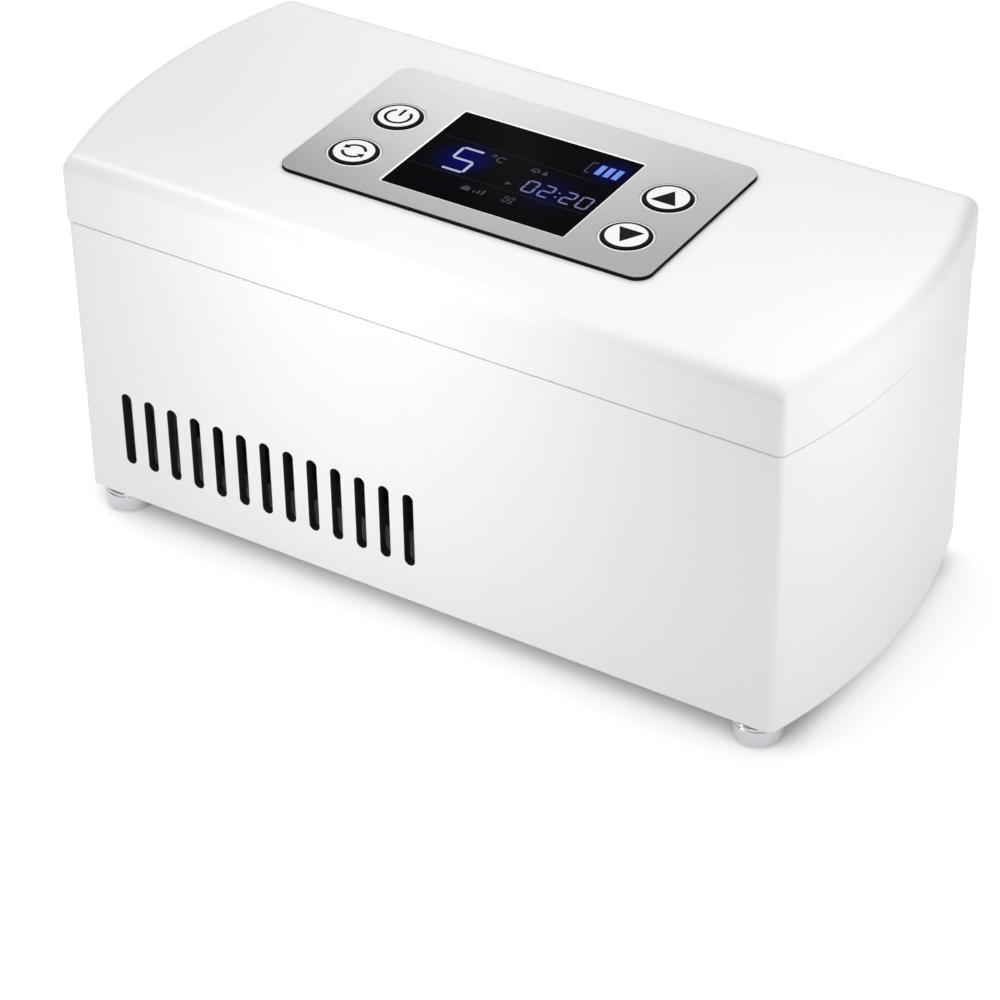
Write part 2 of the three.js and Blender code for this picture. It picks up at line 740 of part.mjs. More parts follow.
function makeDeck() {
  let plate = caseBlock(bodyInset + gap, deckBottomZ, deckTopZ);
  plate = cut(
    plate,
    chamberBlock(0, ...past(deckBottomZ, deckTopZ)),
    leadSlot(...past(deckBottomZ, deckTopZ)),
  );
  for (const span of lidSpans) plate = cut(plate, knuckleRoom(span, -1).barrel);
  for (const span of bodySpans) {
    const room = knuckleRoom(span, -1);
    plate = cut(plate, room.barrel, room.web);
  }
  for (const [x, y] of footPlaces) {
    const headZ = deckTopZ - deckScrew.headHeight;
    plate = cut(
      plate,
      post(x, y, deckScrew.shankRadius + bond, deckBottomZ - overrun, deckTopZ),
      post(x, y, deckScrew.headRadius + bond, headZ - bond, deckTopZ + overrun),
    );
  }
  for (const side of [-1, 1]) plate = cut(plate, magnetRoom(side, deckTopZ - magnet.skin, -1));
  return plate;
}

/** The pocket of a magnet, open away from the seam. */
function magnetRoom(side, z, up) {
  const far = z + up * (magnet.height + gap + overrun);
  return post(side * magnetX, magnetY, magnet.radius + bond, Math.min(z, far), Math.max(z, far));
}

/** A magnet in its pocket. */
function makeMagnet(side, z, up) {
  const near = z + up * bond;
  const far = near + up * magnet.height;
  return post(side * magnetX, magnetY, magnet.radius, Math.min(near, far), Math.max(near, far));
}

// Cooling stack
function makePeltier() {
  const low = peltierTopZ - peltier.height;
  const core = peltier.side - 2 * peltier.coreInset;
  return join(
    slab(coolerX, 0, peltier.side, peltier.side, peltierTopZ - peltier.plate, peltierTopZ),
    slab(coolerX, 0, core, core, low + bond, peltierTopZ - bond),
    slab(coolerX, 0, peltier.side, peltier.side, low, low + peltier.plate),
  );
}

function makeHeatSink() {
  const pitch = (sink.length - sink.finThickness) / (sink.finCount - 1);
  let body = slab(coolerX, 0, sink.length, sink.depth, sinkTopZ - sink.base, sinkTopZ);
  for (let i = 0; i < sink.finCount; i += 1) {
    const x = coolerX - (sink.length - sink.finThickness) / 2 + i * pitch;
    body = join(body, slab(x, 0, sink.finThickness, sink.depth, finBottomZ, sinkTopZ - bond));
  }
  return body;
}

// Fan: a frame whose spider carries the shaft, and the rotor on it
function makeFanFrame() {
  let frame = roundedBlock(coolerX, 0, fan.side, fan.side, fan.cornerRadius, fanBottomZ, fanTopZ);
  frame = cut(frame, post(coolerX, 0, fan.boreRadius, ...past(fanBottomZ, fanTopZ), roundSegments));
  for (const [x, y] of fanHoles()) {
    frame = cut(frame, post(x, y, fan.holeRadius, ...past(fanBottomZ, fanTopZ)));
  }
  const strutTopZ = fanBottomZ + fan.strutHeight;
  const reach = 2 * (fan.boreRadius + bond);
  return join(
    frame,
    slab(coolerX, 0, reach, fan.strutWidth, fanBottomZ, strutTopZ),
    slab(coolerX, 0, fan.strutWidth, reach, fanBottomZ, strutTopZ),
    post(coolerX, 0, fan.hubRadius, fanBottomZ, strutTopZ, roundSegments),
    post(coolerX, 0, fan.shaftRadius, fanBottomZ, strutTopZ + fan.hubHeight - fan.hubWall, smallSegments),
  );
}

function makeFanRotor() {
  const low = fanBottomZ + fan.strutHeight + gap;
  const high = low + fan.hubHeight;
  const sleeve = fan.shaftRadius + fan.shaftGap;
  const boreTopZ = high - fan.hubWall + gap;
  const tip = fan.boreRadius - fan.tipGap;
  const rotor = post(coolerX, 0, fan.hubRadius, low, high, roundSegments);
  const sweep = post(coolerX, 0, tip, low, high, roundSegments);
  let blades = null;
  for (let i = 0; i < fan.bladeCount; i += 1) {
    const geometry = new THREE.BoxGeometry(tip, fan.bladeChord, fan.bladeThickness);
    geometry.rotateX(THREE.MathUtils.degToRad(bladePitchDegrees));
    geometry.translate(tip / 2 + fan.hubRadius / 2, 0, (low + high) / 2);
    geometry.rotateZ((2 * Math.PI * i) / fan.bladeCount);
    geometry.translate(coolerX, 0, 0);
    const blade = toSolid(geometry);
    blades = blades === null ? blade : blades.add(blade);
  }
  const bore = post(coolerX, 0, sleeve, low - overrun, boreTopZ, smallSegments);
  return cut(join(rotor, blades.intersect(sweep)), bore);
}

// Battery
function cellY(index) {
  return (index - (cell.count - 1) / 2) * cellPitch;
}

function makeCell(index) {
  const half = cellLength / 2;
  const y = cellY(index);
  const shoulder = electricsX + half - cell.capHeight;
  const body = rodX(electricsX - half, shoulder, y, cellZ, cellRadius, roundSegments);
  const cap = rodX(electricsX, electricsX + half, y, cellZ, cell.capRadius);
  return join(body, cap);
}

function makeHolder() {
  const low = plateTopZ + gap;
  const length = cellLength + 2 * (gap + holder.endWall);
  const depth = cell.count * cellPitch;
  let frame = slab(electricsX, 0, length, depth, low, low + holder.floor);
  for (const side of [-1, 1]) {
    const x = electricsX + side * (length / 2 - holder.endWall / 2);
    frame = join(frame, slab(x, 0, holder.endWall, depth, low, low + holder.height));
  }
  for (let i = 1; i < cell.count; i += 1) {
    const y = cellY(i) - cellPitch / 2;
    const ribTop = low + holder.floor + cellRadius;
    frame = join(frame, slab(electricsX, y, length, holder.ribThickness, low, ribTop));
  }
  return frame;
}

// Main board: the laminate with chips, coils, capacitors and headers on it
function makeMainBoard() {
  const base = slab(electricsX, 0, boardLength, boardDepth, boardBottomZ, boardTopZ);
  const z0 = boardTopZ - bond;
  const chipTopZ = boardTopZ + chip.height;
  const smallChipX = electricsX + boardLength / 4;
  const parts = [
    slab(electricsX, 0, chip.length, chip.depth, z0, chipTopZ),
    slab(smallChipX, -boardDepth / 4, chip.length / 2, chip.depth / 2, z0, chipTopZ),
  ];
  for (const index of [0, 1, 2]) {
    const topZ = boardTopZ + header.height;
    parts.push(slab(headerX, headerY(index), header.length, header.depth, z0, topZ));
  }
  for (const side of [-1, 1]) {
    const y = side * boardDepth * partRowShare;
    const capacitorX = electricsX + boardLength * partRowShare;
    parts.push(post(electricsX + side * chip.length, y, coil.radius, z0, boardTopZ + coil.height));
    parts.push(post(capacitorX, y, capacitor.radius, z0, boardTopZ + capacitor.height));
  }
  let whole = join(base, ...parts);
  for (const [x, y] of boardHoles()) {
    whole = cut(whole, post(x, y, stake.radius + bond, ...past(boardBottomZ, boardTopZ)));
  }
  return whole;
}

// Power inlet
function makeInlet() {
  const low = inletZ - inlet.height / 2;
  const high = inletZ + inlet.height / 2;
  const back = innerHalfDepth - gap;
  const mouth = halfDepth - shell.seamStep;
  const block = box(inletX - inlet.width / 2, inletX + inlet.width / 2, inletFrontY, back, low, high);
  const nose = rodY(inletX, back - bond, mouth, inletZ, inlet.noseRadius);
  const bore = rodY(inletX, mouth - inlet.boreDepth, mouth + overrun, inletZ, inlet.boreRadius);
  const pin = rodY(inletX, mouth - inlet.boreDepth - bond, mouth - gap, inletZ, inlet.pinRadius);
  return join(cut(join(block, nose), bore), pin);
}

// Temperature probe: a bead that lies under the tray
function makeProbe() {
  const half = probe.length / 2;
  return rodX(probeX - half, probeX + half, probe.y, blockTopZ - probe.radius, probe.radius);
}

// Leads
function makePeltierLead(y, row) {
  const z = peltierTopZ - peltier.height / 2;
  const start = coolerX + peltier.side / 2 + bond;
  const end = headerX - header.length / 2 - bond;
  const endZ = boardTopZ + header.height / 2;
  return tubeThrough([
    [start, y, z],
    [start + lead.bend, y, z],
    [sinkEndX, (y + row) / 2, z],
    [end - lead.bend, row, endZ],
    [end, row, endZ],
  ], lead.radius);
}

function makeFanLead() {
  const start = coolerX + fan.side / 2 + gap;
  const z = fanTopZ - fan.thickness / 2;
  const end = headerX - header.length / 2 - bond;
  const endZ = boardTopZ + header.height / 2;
  const y = headerY(2) + header.depth / 4;
  const middle = (sinkEndX + boardLeftX) / 2;
  return tubeThrough([
    [start, 0, z],
    [sinkEndX, 0, z],
    [middle, y / 3, z + lead.bend / 2],
    [middle, y / 2, (z + endZ) / 2],
    [middle + lead.radius, y, endZ - lead.bend / 4],
    [end - lead.radius, y, endZ],
    [end, y, endZ],
  ], lead.radius);
}

function makeBatteryLead() {
  const start = electricsX - cellLength / 2 - gap - holder.endWall - gap;
  const x = (start + boardLeftX) / 2;
  const z = plateTopZ + gap + holder.height - 2 * lead.radius;
  return tubeThrough([
    [start, 0, z],
    [x, 0, z + lead.radius],
    [x, 0, (z + boardBottomZ) / 2],
    [x, 0, boardBottomZ - bond],
  ], lead.radius);
}

function makeProbeLead() {
  const top = blockTopZ - 2 * probe.radius - bond;
  return tubeThrough([
    [probeX, probe.y, top],
    [probeX, probe.y, foamBottomZ],
    [probeX, probe.y, (foamBottomZ + boardTopZ) / 2],
    [probeX, probe.y, boardTopZ + bond],
  ], lead.radius);
}

function makeBodyLead() {
  const x = -lead.bend;
  const y = innerHalfDepth - 2 * lead.radius;
  const end = headerX - header.length / 2 - bond;
  const endZ = boardTopZ + header.height / 2;
  const row = headerY(2) - header.depth / 4;
  return tubeThrough([
    [-bond, axisY, axisZ],
    [x / 2, axisY, axisZ],
    [x, (axisY + y) / 2, axisZ - lead.bend / 2],
    [x, y, deckBottomZ],
    [x, y, (foamTopZ + foamBottomZ) / 2],
    [x, y, foamBottomZ - lead.bend / 2],
    [x, (y + row) / 2, (foamBottomZ + endZ) / 2],
    [end - lead.bend, row, endZ],
    [end, row, endZ],
  ], lead.radius);
}

function makeLidLead() {
  const x = lead.bend;
  const y = innerHalfDepth - 2 * lead.radius;
  const end = panel.backward + displayBoardDepth / 2 + bond;
  const z = (displayBoardTopZ + displayBoardBottomZ) / 2;
  return tubeThrough([
    [bond, axisY, axisZ],
    [x / 2, axisY, axisZ],
    [x, (axisY + y) / 2, axisZ + lead.bend / 2],
    [x, y, lidFoamBottomZ],
    [x, y, lidFoamTopZ],
    [x, end + lead.bend, z],
    [x, end, z],
  ], lead.radius);
}

/** A block with the plan of the control panel, widened all round by a margin. */
function panelBlock(margin, z0, z1) {
  const length = panel.length + 2 * margin;
  const depth = panel.depth + 2 * margin;
  return roundedBlock(0, panel.backward, length, depth, panel.cornerRadius + margin, z0, z1);
}

// Lid cover: the outer shell with its rounded top edge, the panel recess and the button collars
function makeLidCover() {
  const hollow = caseBlock(shell.wall, lidZ - overrun, ceilingZ);
  let cover = cut(roundedTopBlock(lidZ, topZ, shell.lidEdgeRadius), hollow);
  for (const [x, y] of corners(lidBossX, lidBossY)) {
    cover = join(cover, post(x, y, lidBoss.radius, linerTopZ + gap, ceilingZ + bond));
    cover = cut(cover, post(x, y, lidBoss.boreRadius, linerTopZ, linerTopZ + gap + lidBoss.boreDepth));
  }
  for (const [x, y] of displayBoardHoles()) {
    cover = join(
      cover,
      post(x, y, displayBoard.bossRadius, displayBoardTopZ + gap, ceilingZ + bond),
      post(x, y, stake.radius, displayBoardBottomZ - stake.stands, ceilingZ),
    );
  }
  const windowLength = displayLength - 2 * display.ledge;
  const windowDepth = displayDepth - 2 * display.ledge;
  cover = cut(
    cover,
    panelBlock(bond, recessZ, topZ + overrun),
    slab(0, displayY, windowLength, windowDepth, ...past(ceilingZ, topZ)),
  );
  for (const { x, y } of buttonPlaces) {
    cover = join(cover, post(x, y, collarRadius, recessZ - bond, panelTopZ, roundSegments));
    cover = cut(cover, post(x, y, buttonHoleRadius, ...past(ceilingZ, topZ), roundSegments));
  }
  cover = cut(cover, rearGroove(1), leadNotch(lidZ - overrun, lidFoamTopZ + gap));
  for (const span of bodySpans) cover = cut(cover, knuckleRoom(span, 1).barrel);
  for (const span of lidSpans) cover = join(cover, knuckle(span, 1));
  return cut(cover, ...pinBores());
}

/** The holes in the display board for its stakes. */
function displayBoardHoles() {
  const x = displayBoardLength / 2 - displayBoard.holeInset;
  const y = displayBoardDepth / 2 - displayBoard.holeInset;
  return corners(x, y).map(([cx, cy]) => [cx, cy + panel.backward]);
}

// Control panel: a thin metal plate with the display window and four round holes
function makeControlPanel() {
  const range = past(panelBottomZ, panelTopZ);
  let plate = panelBlock(0, panelBottomZ, panelTopZ);
  plate = cut(plate, slab(0, displayY, displayLength, displayDepth, ...range));
  for (const { x, y } of buttonPlaces) {
    plate = cut(plate, post(x, y, collarRadius + bond, ...range, roundSegments));
  }
  return plate;
}

function makeDisplayLens() {
  const rim = 2 * bond;
  const z1 = panelBottomZ + display.lensThickness;
  return slab(0, displayY, displayLength - rim, displayDepth - rim, panelBottomZ, z1);
}

function makeLcd() {
  const step = 2 * (display.ledge + gap);
  const length = displayLength + 2 * lcd.endMargin;
  const depth = displayDepth + 2 * lcd.sideMargin;
  const [windowLength, windowDepth] = [displayLength - step, displayDepth - step];
  return join(
    slab(0, displayY, length, depth, lcdBottomZ, lcdTopZ),
    slab(0, displayY, windowLength, windowDepth, lcdTopZ - bond, panelBottomZ - gap),
  );
}

// Display board with a push switch under each button
function makeDisplayBoard() {
  const [length, depth] = [displayBoardLength, displayBoardDepth];
  let plate = slab(0, panel.backward, length, depth, displayBoardBottomZ, displayBoardTopZ);
  const plungerTop = buttonBottomZ - button.travel - tactSwitch.play;
  for (const { x, y } of buttonPlaces) {
    const low = displayBoardTopZ - bond;
    plate = join(
      plate,
      slab(x, y, tactSwitch.side, tactSwitch.side, low, plungerTop - tactSwitch.plungerHeight),
      post(x, y, tactSwitch.plungerRadius, low, plungerTop),
    );
  }
  for (const [x, y] of displayBoardHoles()) {
    const range = past(displayBoardBottomZ, displayBoardTopZ);
    plate = cut(plate, post(x, y, stake.radius + bond, ...range));
  }
  return plate;
}

function makeButton({ x, y }) {
  const top = panelTopZ + button.proud;
  return turned(x, y, [
    [0, buttonBottomZ],
    [button.flangeRadius, buttonBottomZ],
    [button.flangeRadius, buttonFlangeTopZ],
    [button.radius, buttonFlangeTopZ],
    [button.radius, top - button.edge],
    [button.radius - button.edge, top],
    [0, top],
  ]);
}

// Lid liner with the plug that closes the chamber, the foam above it and the gasket around the plug
function makeLidLiner() {
  const plug = chamberBlock(-liner.plugGap, linerBottomZ - liner.plugDepth, linerBottomZ + bond);
  let plate = join(caseBlock(shell.wall + gap, linerBottomZ, linerTopZ), plug);
  plate = cut(plate, gasketRing(bond, linerBottomZ - overrun, linerBottomZ + gasket.groove));
  plate = cut(
    plate,
    box(-halfLength, halfLength, axisY, halfDepth + overrun, ...past(linerBottomZ, linerTopZ)),
    leadSlot(...past(linerBottomZ, linerTopZ)),
  );
  for (const span of bodySpans) plate = cut(plate, knuckleRoom(span, 1).barrel);
  for (const span of lidSpans) {
    const room = knuckleRoom(span, 1);
    plate = cut(plate, room.barrel, room.web);
  }
  for (const [x, y] of corners(lidBossX, lidBossY)) {
    const headZ = linerBottomZ + lidScrew.headHeight;
    plate = cut(
      plate,
      post(x, y, lidScrew.shankRadius + bond, ...past(linerBottomZ, linerTopZ)),
      post(x, y, lidScrew.headRadius + bond, linerBottomZ - overrun, headZ),
    );
  }
  for (const side of [-1, 1]) plate = cut(plate, magnetRoom(side, linerBottomZ + magnet.skin, 1));
  return plate;
}

function makeLidFoam() {
  let block = caseBlock(shell.wall + gap, lidFoamBottomZ, lidFoamTopZ);
  const rearY = axisY - hinge.knuckleRadius - gap;
  const range = past(lidFoamBottomZ, lidFoamTopZ);
  block = cut(block, box(-halfLength, halfLength, rearY, halfDepth + overrun, ...range));
  for (const [x, y] of corners(lidBossX, lidBossY)) {
    block = cut(block, post(x, y, lidBoss.radius + gap, ...range));
  }
  for (const side of [-1, 1]) {
    const radius = magnet.radius + gap;
    const pocketTopZ = magnetTopZ + gap;
    block = cut(block, post(side * magnetX, magnetY, radius, range[0], pocketTopZ));
  }
  return block;
}

/** A rounded ring round the mouth of the chamber, widened by a clearance. */
function gasketRing(clearance, z0, z1) {
  return cut(
    chamberBlock(gasket.margin + gasket.width + clearance, z0, z1),
    chamberBlock(gasket.margin - clearance, ...past(z0, z1)),
  );
}

function makePin(x) {
  const half = hinge.lidKnuckle / 2 + gap + hinge.bodyKnuckle;
  return rodX(x - half, x + half, axisY, axisZ, hinge.pinRadius);
}

// Buttons: power and mode on the left, up and down on the right
const buttonPlaces = [
  { name: 'power_button', x: -buttonX, y: buttonRearY },
  { name: 'mode_button', x: -buttonX, y: buttonFrontY },
  { name: 'up_button', x: buttonX, y: buttonRearY },
  { name: 'down_button', x: buttonX, y: buttonFrontY },
];

function buildBody(group) {
  addPiece(group, 'body_shell', makeBodyShell(), finishes.whiteCase);
  addPiece(group, 'base_plate', makeBasePlate(), finishes.whiteInner);
  footPlaces.forEach(([x, y], i) => {
    addPiece(group, `foot_${cornerNames[i]}`, makeFoot(x, y), finishes.bright);
    addPiece(group, `foot_pad_${cornerNames[i]}`, makeFootPad(x, y), finishes.rubber);
  });
  addPiece(group, 'cold_tray', makeColdTray(), finishes.aluminium);
  addPiece(group, 'foam_block', makeFoamBlock(), finishes.foam);
  addPiece(group, 'chamber_deck', makeDeck(), finishes.whiteInner);
  footPlaces.forEach(([x, y], i) => {
    const solid = screw(x, y, deckTopZ - deckScrew.headHeight, 1, deckScrew);
    addPiece(group, `deck_screw_${cornerNames[i]}`, solid, finishes.steel);
  });
  addPiece(group, 'deck_magnet_left', makeMagnet(-1, deckTopZ - magnet.skin, -1), finishes.steel);
  addPiece(group, 'deck_magnet_right', makeMagnet(1, deckTopZ - magnet.skin, -1), finishes.steel);
  addPiece(group, 'hinge_pin_left', makePin(-hingeX), finishes.steel);
  addPiece(group, 'hinge_pin_right', makePin(hingeX), finishes.steel);
}

function buildCooler(group) {
  const block = slab(coolerX, 0, coldBlock.side, coldBlock.side, blockTopZ - coldBlock.height, blockTopZ);
  addPiece(group, 'cold_block', block, finishes.aluminium);
  addPiece(group, 'peltier_module', makePeltier(), finishes.ceramic);
  addPiece(group, 'heat_sink', makeHeatSink(), finishes.aluminium);
  addPiece(group, 'fan_frame', makeFanFrame(), finishes.blackPlastic);
  addPiece(group, 'fan_rotor', makeFanRotor(), finishes.blackPlastic);
  addPiece(group, 'temperature_probe', makeProbe(), finishes.steel);
}

function buildElectrics(group) {
  addPiece(group, 'battery_holder', makeHolder(), finishes.blackPlastic);
  for (let i = 0; i < cell.count; i += 1) {
    addPiece(group, `battery_cell_${i + 1}`, makeCell(i), finishes.cellWrap);
  }
  addPiece(group, 'main_board', makeMainBoard(), finishes.board);
  addPiece(group, 'power_inlet', makeInlet(), finishes.blackPlastic);
  addPiece(group, 'peltier_lead_red', makePeltierLead(-lead.bend, headerY(0)), finishes.leadRed);
  addPiece(group, 'peltier_lead_black', makePeltierLead(lead.bend, headerY(1)), finishes.leadBlack);
  addPiece(group, 'fan_lead', makeFanLead(), finishes.leadBlack);
  addPiece(group, 'battery_lead', makeBatteryLead(), finishes.leadRed);
  addPiece(group, 'probe_lead', makeProbeLead(), finishes.leadGrey);
  addPiece(group, 'body_lead', makeBodyLead(), finishes.leadGrey);
}

function buildLid(group) {
  addPiece(group, 'lid_cover', makeLidCover(), finishes.whiteCase);
  addPiece(group, 'control_panel', makeControlPanel(), finishes.silverPanel);
  addPiece(group, 'display_lens', makeDisplayLens(), finishes.darkGlass);
  addPiece(group, 'lcd_module', makeLcd(), finishes.blackPlastic);
  addPiece(group, 'display_board', makeDisplayBoard(), finishes.board);
  addPiece(group, 'lid_foam', makeLidFoam(), finishes.foam);
  addPiece(group, 'lid_liner', makeLidLiner(), finishes.whiteInner);
  corners(lidBossX, lidBossY).forEach(([x, y], i) => {
    const solid = screw(x, y, linerBottomZ + lidScrew.headHeight - bond, -1, lidScrew);
    addPiece(group, `lid_screw_${cornerNames[i]}`, solid, finishes.steel);
  });
  const gasketTopZ = linerBottomZ + gasket.groove - bond;
  addPiece(group, 'lid_gasket', gasketRing(0, deckTopZ + gap, gasketTopZ), finishes.silicone);
  addPiece(group, 'lid_magnet_left', makeMagnet(-1, linerBottomZ + magnet.skin, 1), finishes.steel);
  addPiece(group, 'lid_magnet_right', makeMagnet(1, linerBottomZ + magnet.skin, 1), finishes.steel);
  addPiece(group, 'lid_lead', makeLidLead(), finishes.leadGrey);
  for (const place of buttonPlaces) addPiece(group, place.name, makeButton(place), finishes.keyWhite);
}

buildBody(model);
buildCooler(model);
buildElectrics(model);
buildLid(model);

export default model;
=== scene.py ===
"""Insulin cooling case: the looks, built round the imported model.

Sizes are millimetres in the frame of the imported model: +Z is up, +X runs to the right along the
front, -Y is the front, and the feet stand at height zero.
"""

from __future__ import annotations

import sys
import logging
import math
from dataclasses import dataclass
from enum import Enum
from typing import Callable, Sequence

import bmesh
import bpy
from mathutils import Matrix, Quaternion, Vector


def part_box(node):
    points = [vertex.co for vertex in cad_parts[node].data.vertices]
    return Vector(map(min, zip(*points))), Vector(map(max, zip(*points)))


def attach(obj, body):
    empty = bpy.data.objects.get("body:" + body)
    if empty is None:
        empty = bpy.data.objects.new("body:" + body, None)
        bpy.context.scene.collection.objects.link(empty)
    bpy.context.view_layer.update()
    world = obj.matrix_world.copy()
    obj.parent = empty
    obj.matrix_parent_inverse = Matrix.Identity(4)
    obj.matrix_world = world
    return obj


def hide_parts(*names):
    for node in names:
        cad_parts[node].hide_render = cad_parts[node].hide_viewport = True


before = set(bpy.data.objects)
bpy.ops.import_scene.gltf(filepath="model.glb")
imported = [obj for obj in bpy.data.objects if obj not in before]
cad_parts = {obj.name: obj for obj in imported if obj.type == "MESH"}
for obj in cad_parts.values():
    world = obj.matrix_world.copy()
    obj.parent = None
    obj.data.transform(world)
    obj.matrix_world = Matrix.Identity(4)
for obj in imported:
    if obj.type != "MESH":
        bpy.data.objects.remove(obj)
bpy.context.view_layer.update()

log = logging.getLogger("cooling_case")

Point = tuple[float, float]
Place = tuple[float, float, float]
Colour = tuple[float, float, float]
Plan = Callable[[float], list[Point]]

METRES = 0.001  # metres in a millimetre
OVERRUN = 6.0  # how far a long cut runs past the piece
PAST = 1.0  # how far a short cut runs past the piece
GAP = 0.3  # the room between pieces that move past each other
HAIR = 0.02  # a size too small to be seen
SHARP_DEGREES = 32.0  # edges that turn by more than this stay sharp
BLACK: Colour = (0.0, 0.0, 0.0)
WHITE: Colour = (1.0, 1.0, 1.0)


class Body(Enum):
    """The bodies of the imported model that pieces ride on."""

    CASE = "body"
    LID = "lid"
    POWER = "power_key"
    MODE = "mode_key"
    UP = "up_key"
    DOWN = "down_key"


class Axis(Enum):
    """The way that a solid made upright is turned to face."""

    UP = Matrix.Identity(4)
    DOWN = Matrix.Rotation(math.pi, 4, "X")
    FRONT = Matrix.Rotation(math.pi / 2, 4, "X")
    REAR = Matrix.Rotation(math.pi, 4, "Z") @ Matrix.Rotation(math.pi / 2, 4, "X")
    RIGHT = Matrix.Rotation(math.pi / 2, 4, "Y")


# ---- Shader maths


class Socket:
    """A shader value. Arithmetic on it adds Math nodes."""

    def __init__(self, shader: "Shader", output: bpy.types.NodeSocket) -> None:
        """Wraps one output of a node of the shader."""
        self.shader = shader
        self.output = output

    def __add__(self, other: "Value") -> "Socket":
        """Adds a number or another value."""
        return self.shader.math("ADD", self, other)

    __radd__ = __add__

    def __sub__(self, other: "Value") -> "Socket":
        """Takes a number or another value away."""
        return self.shader.math("SUBTRACT", self, other)

    def __rsub__(self, other: "Value") -> "Socket":
        """Takes this value away from a number."""
        return self.shader.math("SUBTRACT", other, self)

    def __mul__(self, other: "Value") -> "Socket":
        """Multiplies by a number or another value."""
        return self.shader.math("MULTIPLY", self, other)

    __rmul__ = __mul__

    def rising(self, low: float, high: float) -> "Socket":
        """A smooth step.

        Args:
            low: the value below which the result is 0.
            high: the value above which the result is 1.

        Returns:
            The stepped value.
        """
        settings = {"interpolation_type": "SMOOTHSTEP"}
        inputs = {"Value": self, "From Min": low, "From Max": high}
        made = self.shader.node("ShaderNodeMapRange", settings, inputs)
        return Socket(self.shader, made.outputs[0])


Value = float | Socket


class Shader:
    """A material under construction, with one principled surface."""

    def __init__(self, name: str, **constants: float | Colour) -> None:
        """Starts a material.

        Args:
            name: the material's name.
            constants: values of the surface's own sockets, with _ for a space in their names.
        """
        self.material = bpy.data.materials.new(name)
        self.material.use_nodes = True
        self.tree = self.material.node_tree
        self.tree.nodes.clear()
        self.surface = self.node("ShaderNodeBsdfPrincipled")
        output = self.node("ShaderNodeOutputMaterial")
        self.tree.links.new(self.surface.outputs[0], output.inputs["Surface"])
        self.place = Socket(self, self.node("ShaderNodeTexCoord").outputs["Object"])
        for key, value in constants.items():
            self.feed(key.replace("_", " "), value)

    def node(
        self,
        kind: str,
        settings: dict[str, object] | None = None,
        inputs: dict[str | int, object] | None = None,
    ) -> bpy.types.Node:
        """Adds a node.

        Args:
            kind: the node's type.
            settings: its own settings, set before its sockets.
            inputs: what goes into its sockets, by name or number: values or links.

        Returns:
            The node.
        """
        made = self.tree.nodes.new(kind)
        for key, value in (settings or {}).items():
            setattr(made, key, value)
        for key, value in (inputs or {}).items():
            if isinstance(value, Socket):
                self.tree.links.new(value.output, made.inputs[key])
            elif isinstance(value, tuple) and made.inputs[key].type == "RGBA":
                made.inputs[key].default_value = (*value, 1.0)
            else:
                made.inputs[key].default_value = value
        return made

    def math(self, operation: str, first: Value, second: Value) -> Socket:
        """Adds a Math node and returns its result."""
        made = self.node("ShaderNodeMath", {"operation": operation}, {0: first, 1: second})
        return Socket(self, made.outputs[0])

    def feed(self, socket: str, value: Value | Colour) -> None:
        """Sets or links a socket of the surface.

        Args:
            socket: the socket's name.
            value: a number or a colour to set, or a value to link.
        """
        target = self.surface.inputs[socket]
        if isinstance(value, Socket):
            self.tree.links.new(value.output, target)
        elif isinstance(value, tuple):
            target.default_value = (*value, 1.0)
        else:
            target.default_value = value

    def vector_math(self, operation: str, first: Socket, second: Place) -> bpy.types.Node:
        """Adds a Vector Math node."""
        return self.node("ShaderNodeVectorMath", {"operation": operation}, {0: first, 1: second})

    def scaled_place(self, stretch: Place) -> Socket:
        """The place on the object, with each axis multiplied by its own number."""
        return Socket(self, self.vector_math("MULTIPLY", self.place, stretch).outputs[0])

    def millimetres(self) -> Socket:
        """The place on the object in millimetres."""
        return self.scaled_place((1 / METRES,) * 3)

    def from_middle(self) -> tuple[Socket, Socket]:
        """How far the place is from the object's middle along X and along Y, in millimetres."""
        parts = self.node("ShaderNodeSeparateXYZ", None, {0: self.millimetres()})
        return tuple(self.math("ABSOLUTE", Socket(self, parts.outputs[i]), 0.0) for i in range(2))

    def distance_from(self, point: Place) -> Socket:
        """The distance in millimetres of the place on the object from a point in millimetres."""
        made = self.vector_math("DISTANCE", self.millimetres(), point)
        return Socket(self, made.outputs["Value"])

    def noise(self, size: float, detail: float = 2.0, stretch: Place = (1.0, 1.0, 1.0)) -> Socket:
        """Noise over the object.

        Args:
            size: how wide its patches are, in millimetres.
            detail: how many finer layers it has.
            stretch: a number for each axis, above 1 where patches are narrower.

        Returns:
            A value from 0 to 1, about one half on average.
        """
        place = self.scaled_place(stretch)
        inputs = {"Vector": place, "Scale": 1 / (size * METRES), "Detail": detail}
        return Socket(self, self.node("ShaderNodeTexNoise", None, inputs).outputs[0])

    def cells(self, size: float, feature: str = "F1") -> Socket:
        """Cells over the object.

        Args:
            size: about how wide a cell is, in millimetres.
            feature: F1 to measure from the middle of a cell, DISTANCE_TO_EDGE from its edge.

        Returns:
            The distance.
        """
        inputs = {"Vector": self.place, "Scale": 1 / (size * METRES)}
        made = self.node("ShaderNodeTexVoronoi", {"feature": feature}, inputs)
        return Socket(self, made.outputs["Distance"])

    def mixed(self, share: Value, first: Colour | Socket, second: Colour | Socket) -> Socket:
        """A colour between two colours, at the given share of the second."""
        made = self.node("ShaderNodeMix", {"data_type": "RGBA"}, {0: share, 6: first, 7: second})
        return Socket(self, made.outputs[2])

    def relief(self, height: Socket, depth: float) -> None:
        """Raises the surface.

        Args:
            height: the height, from 0 to 1.
            depth: how high 1 is, in millimetres.
        """
        inputs = {"Height": height, "Distance": depth * METRES, "Strength": 1.0}
        bump = self.node("ShaderNodeBump", None, inputs)
        self.feed("Normal", Socket(self, bump.outputs[0]))


# ---- Finishes


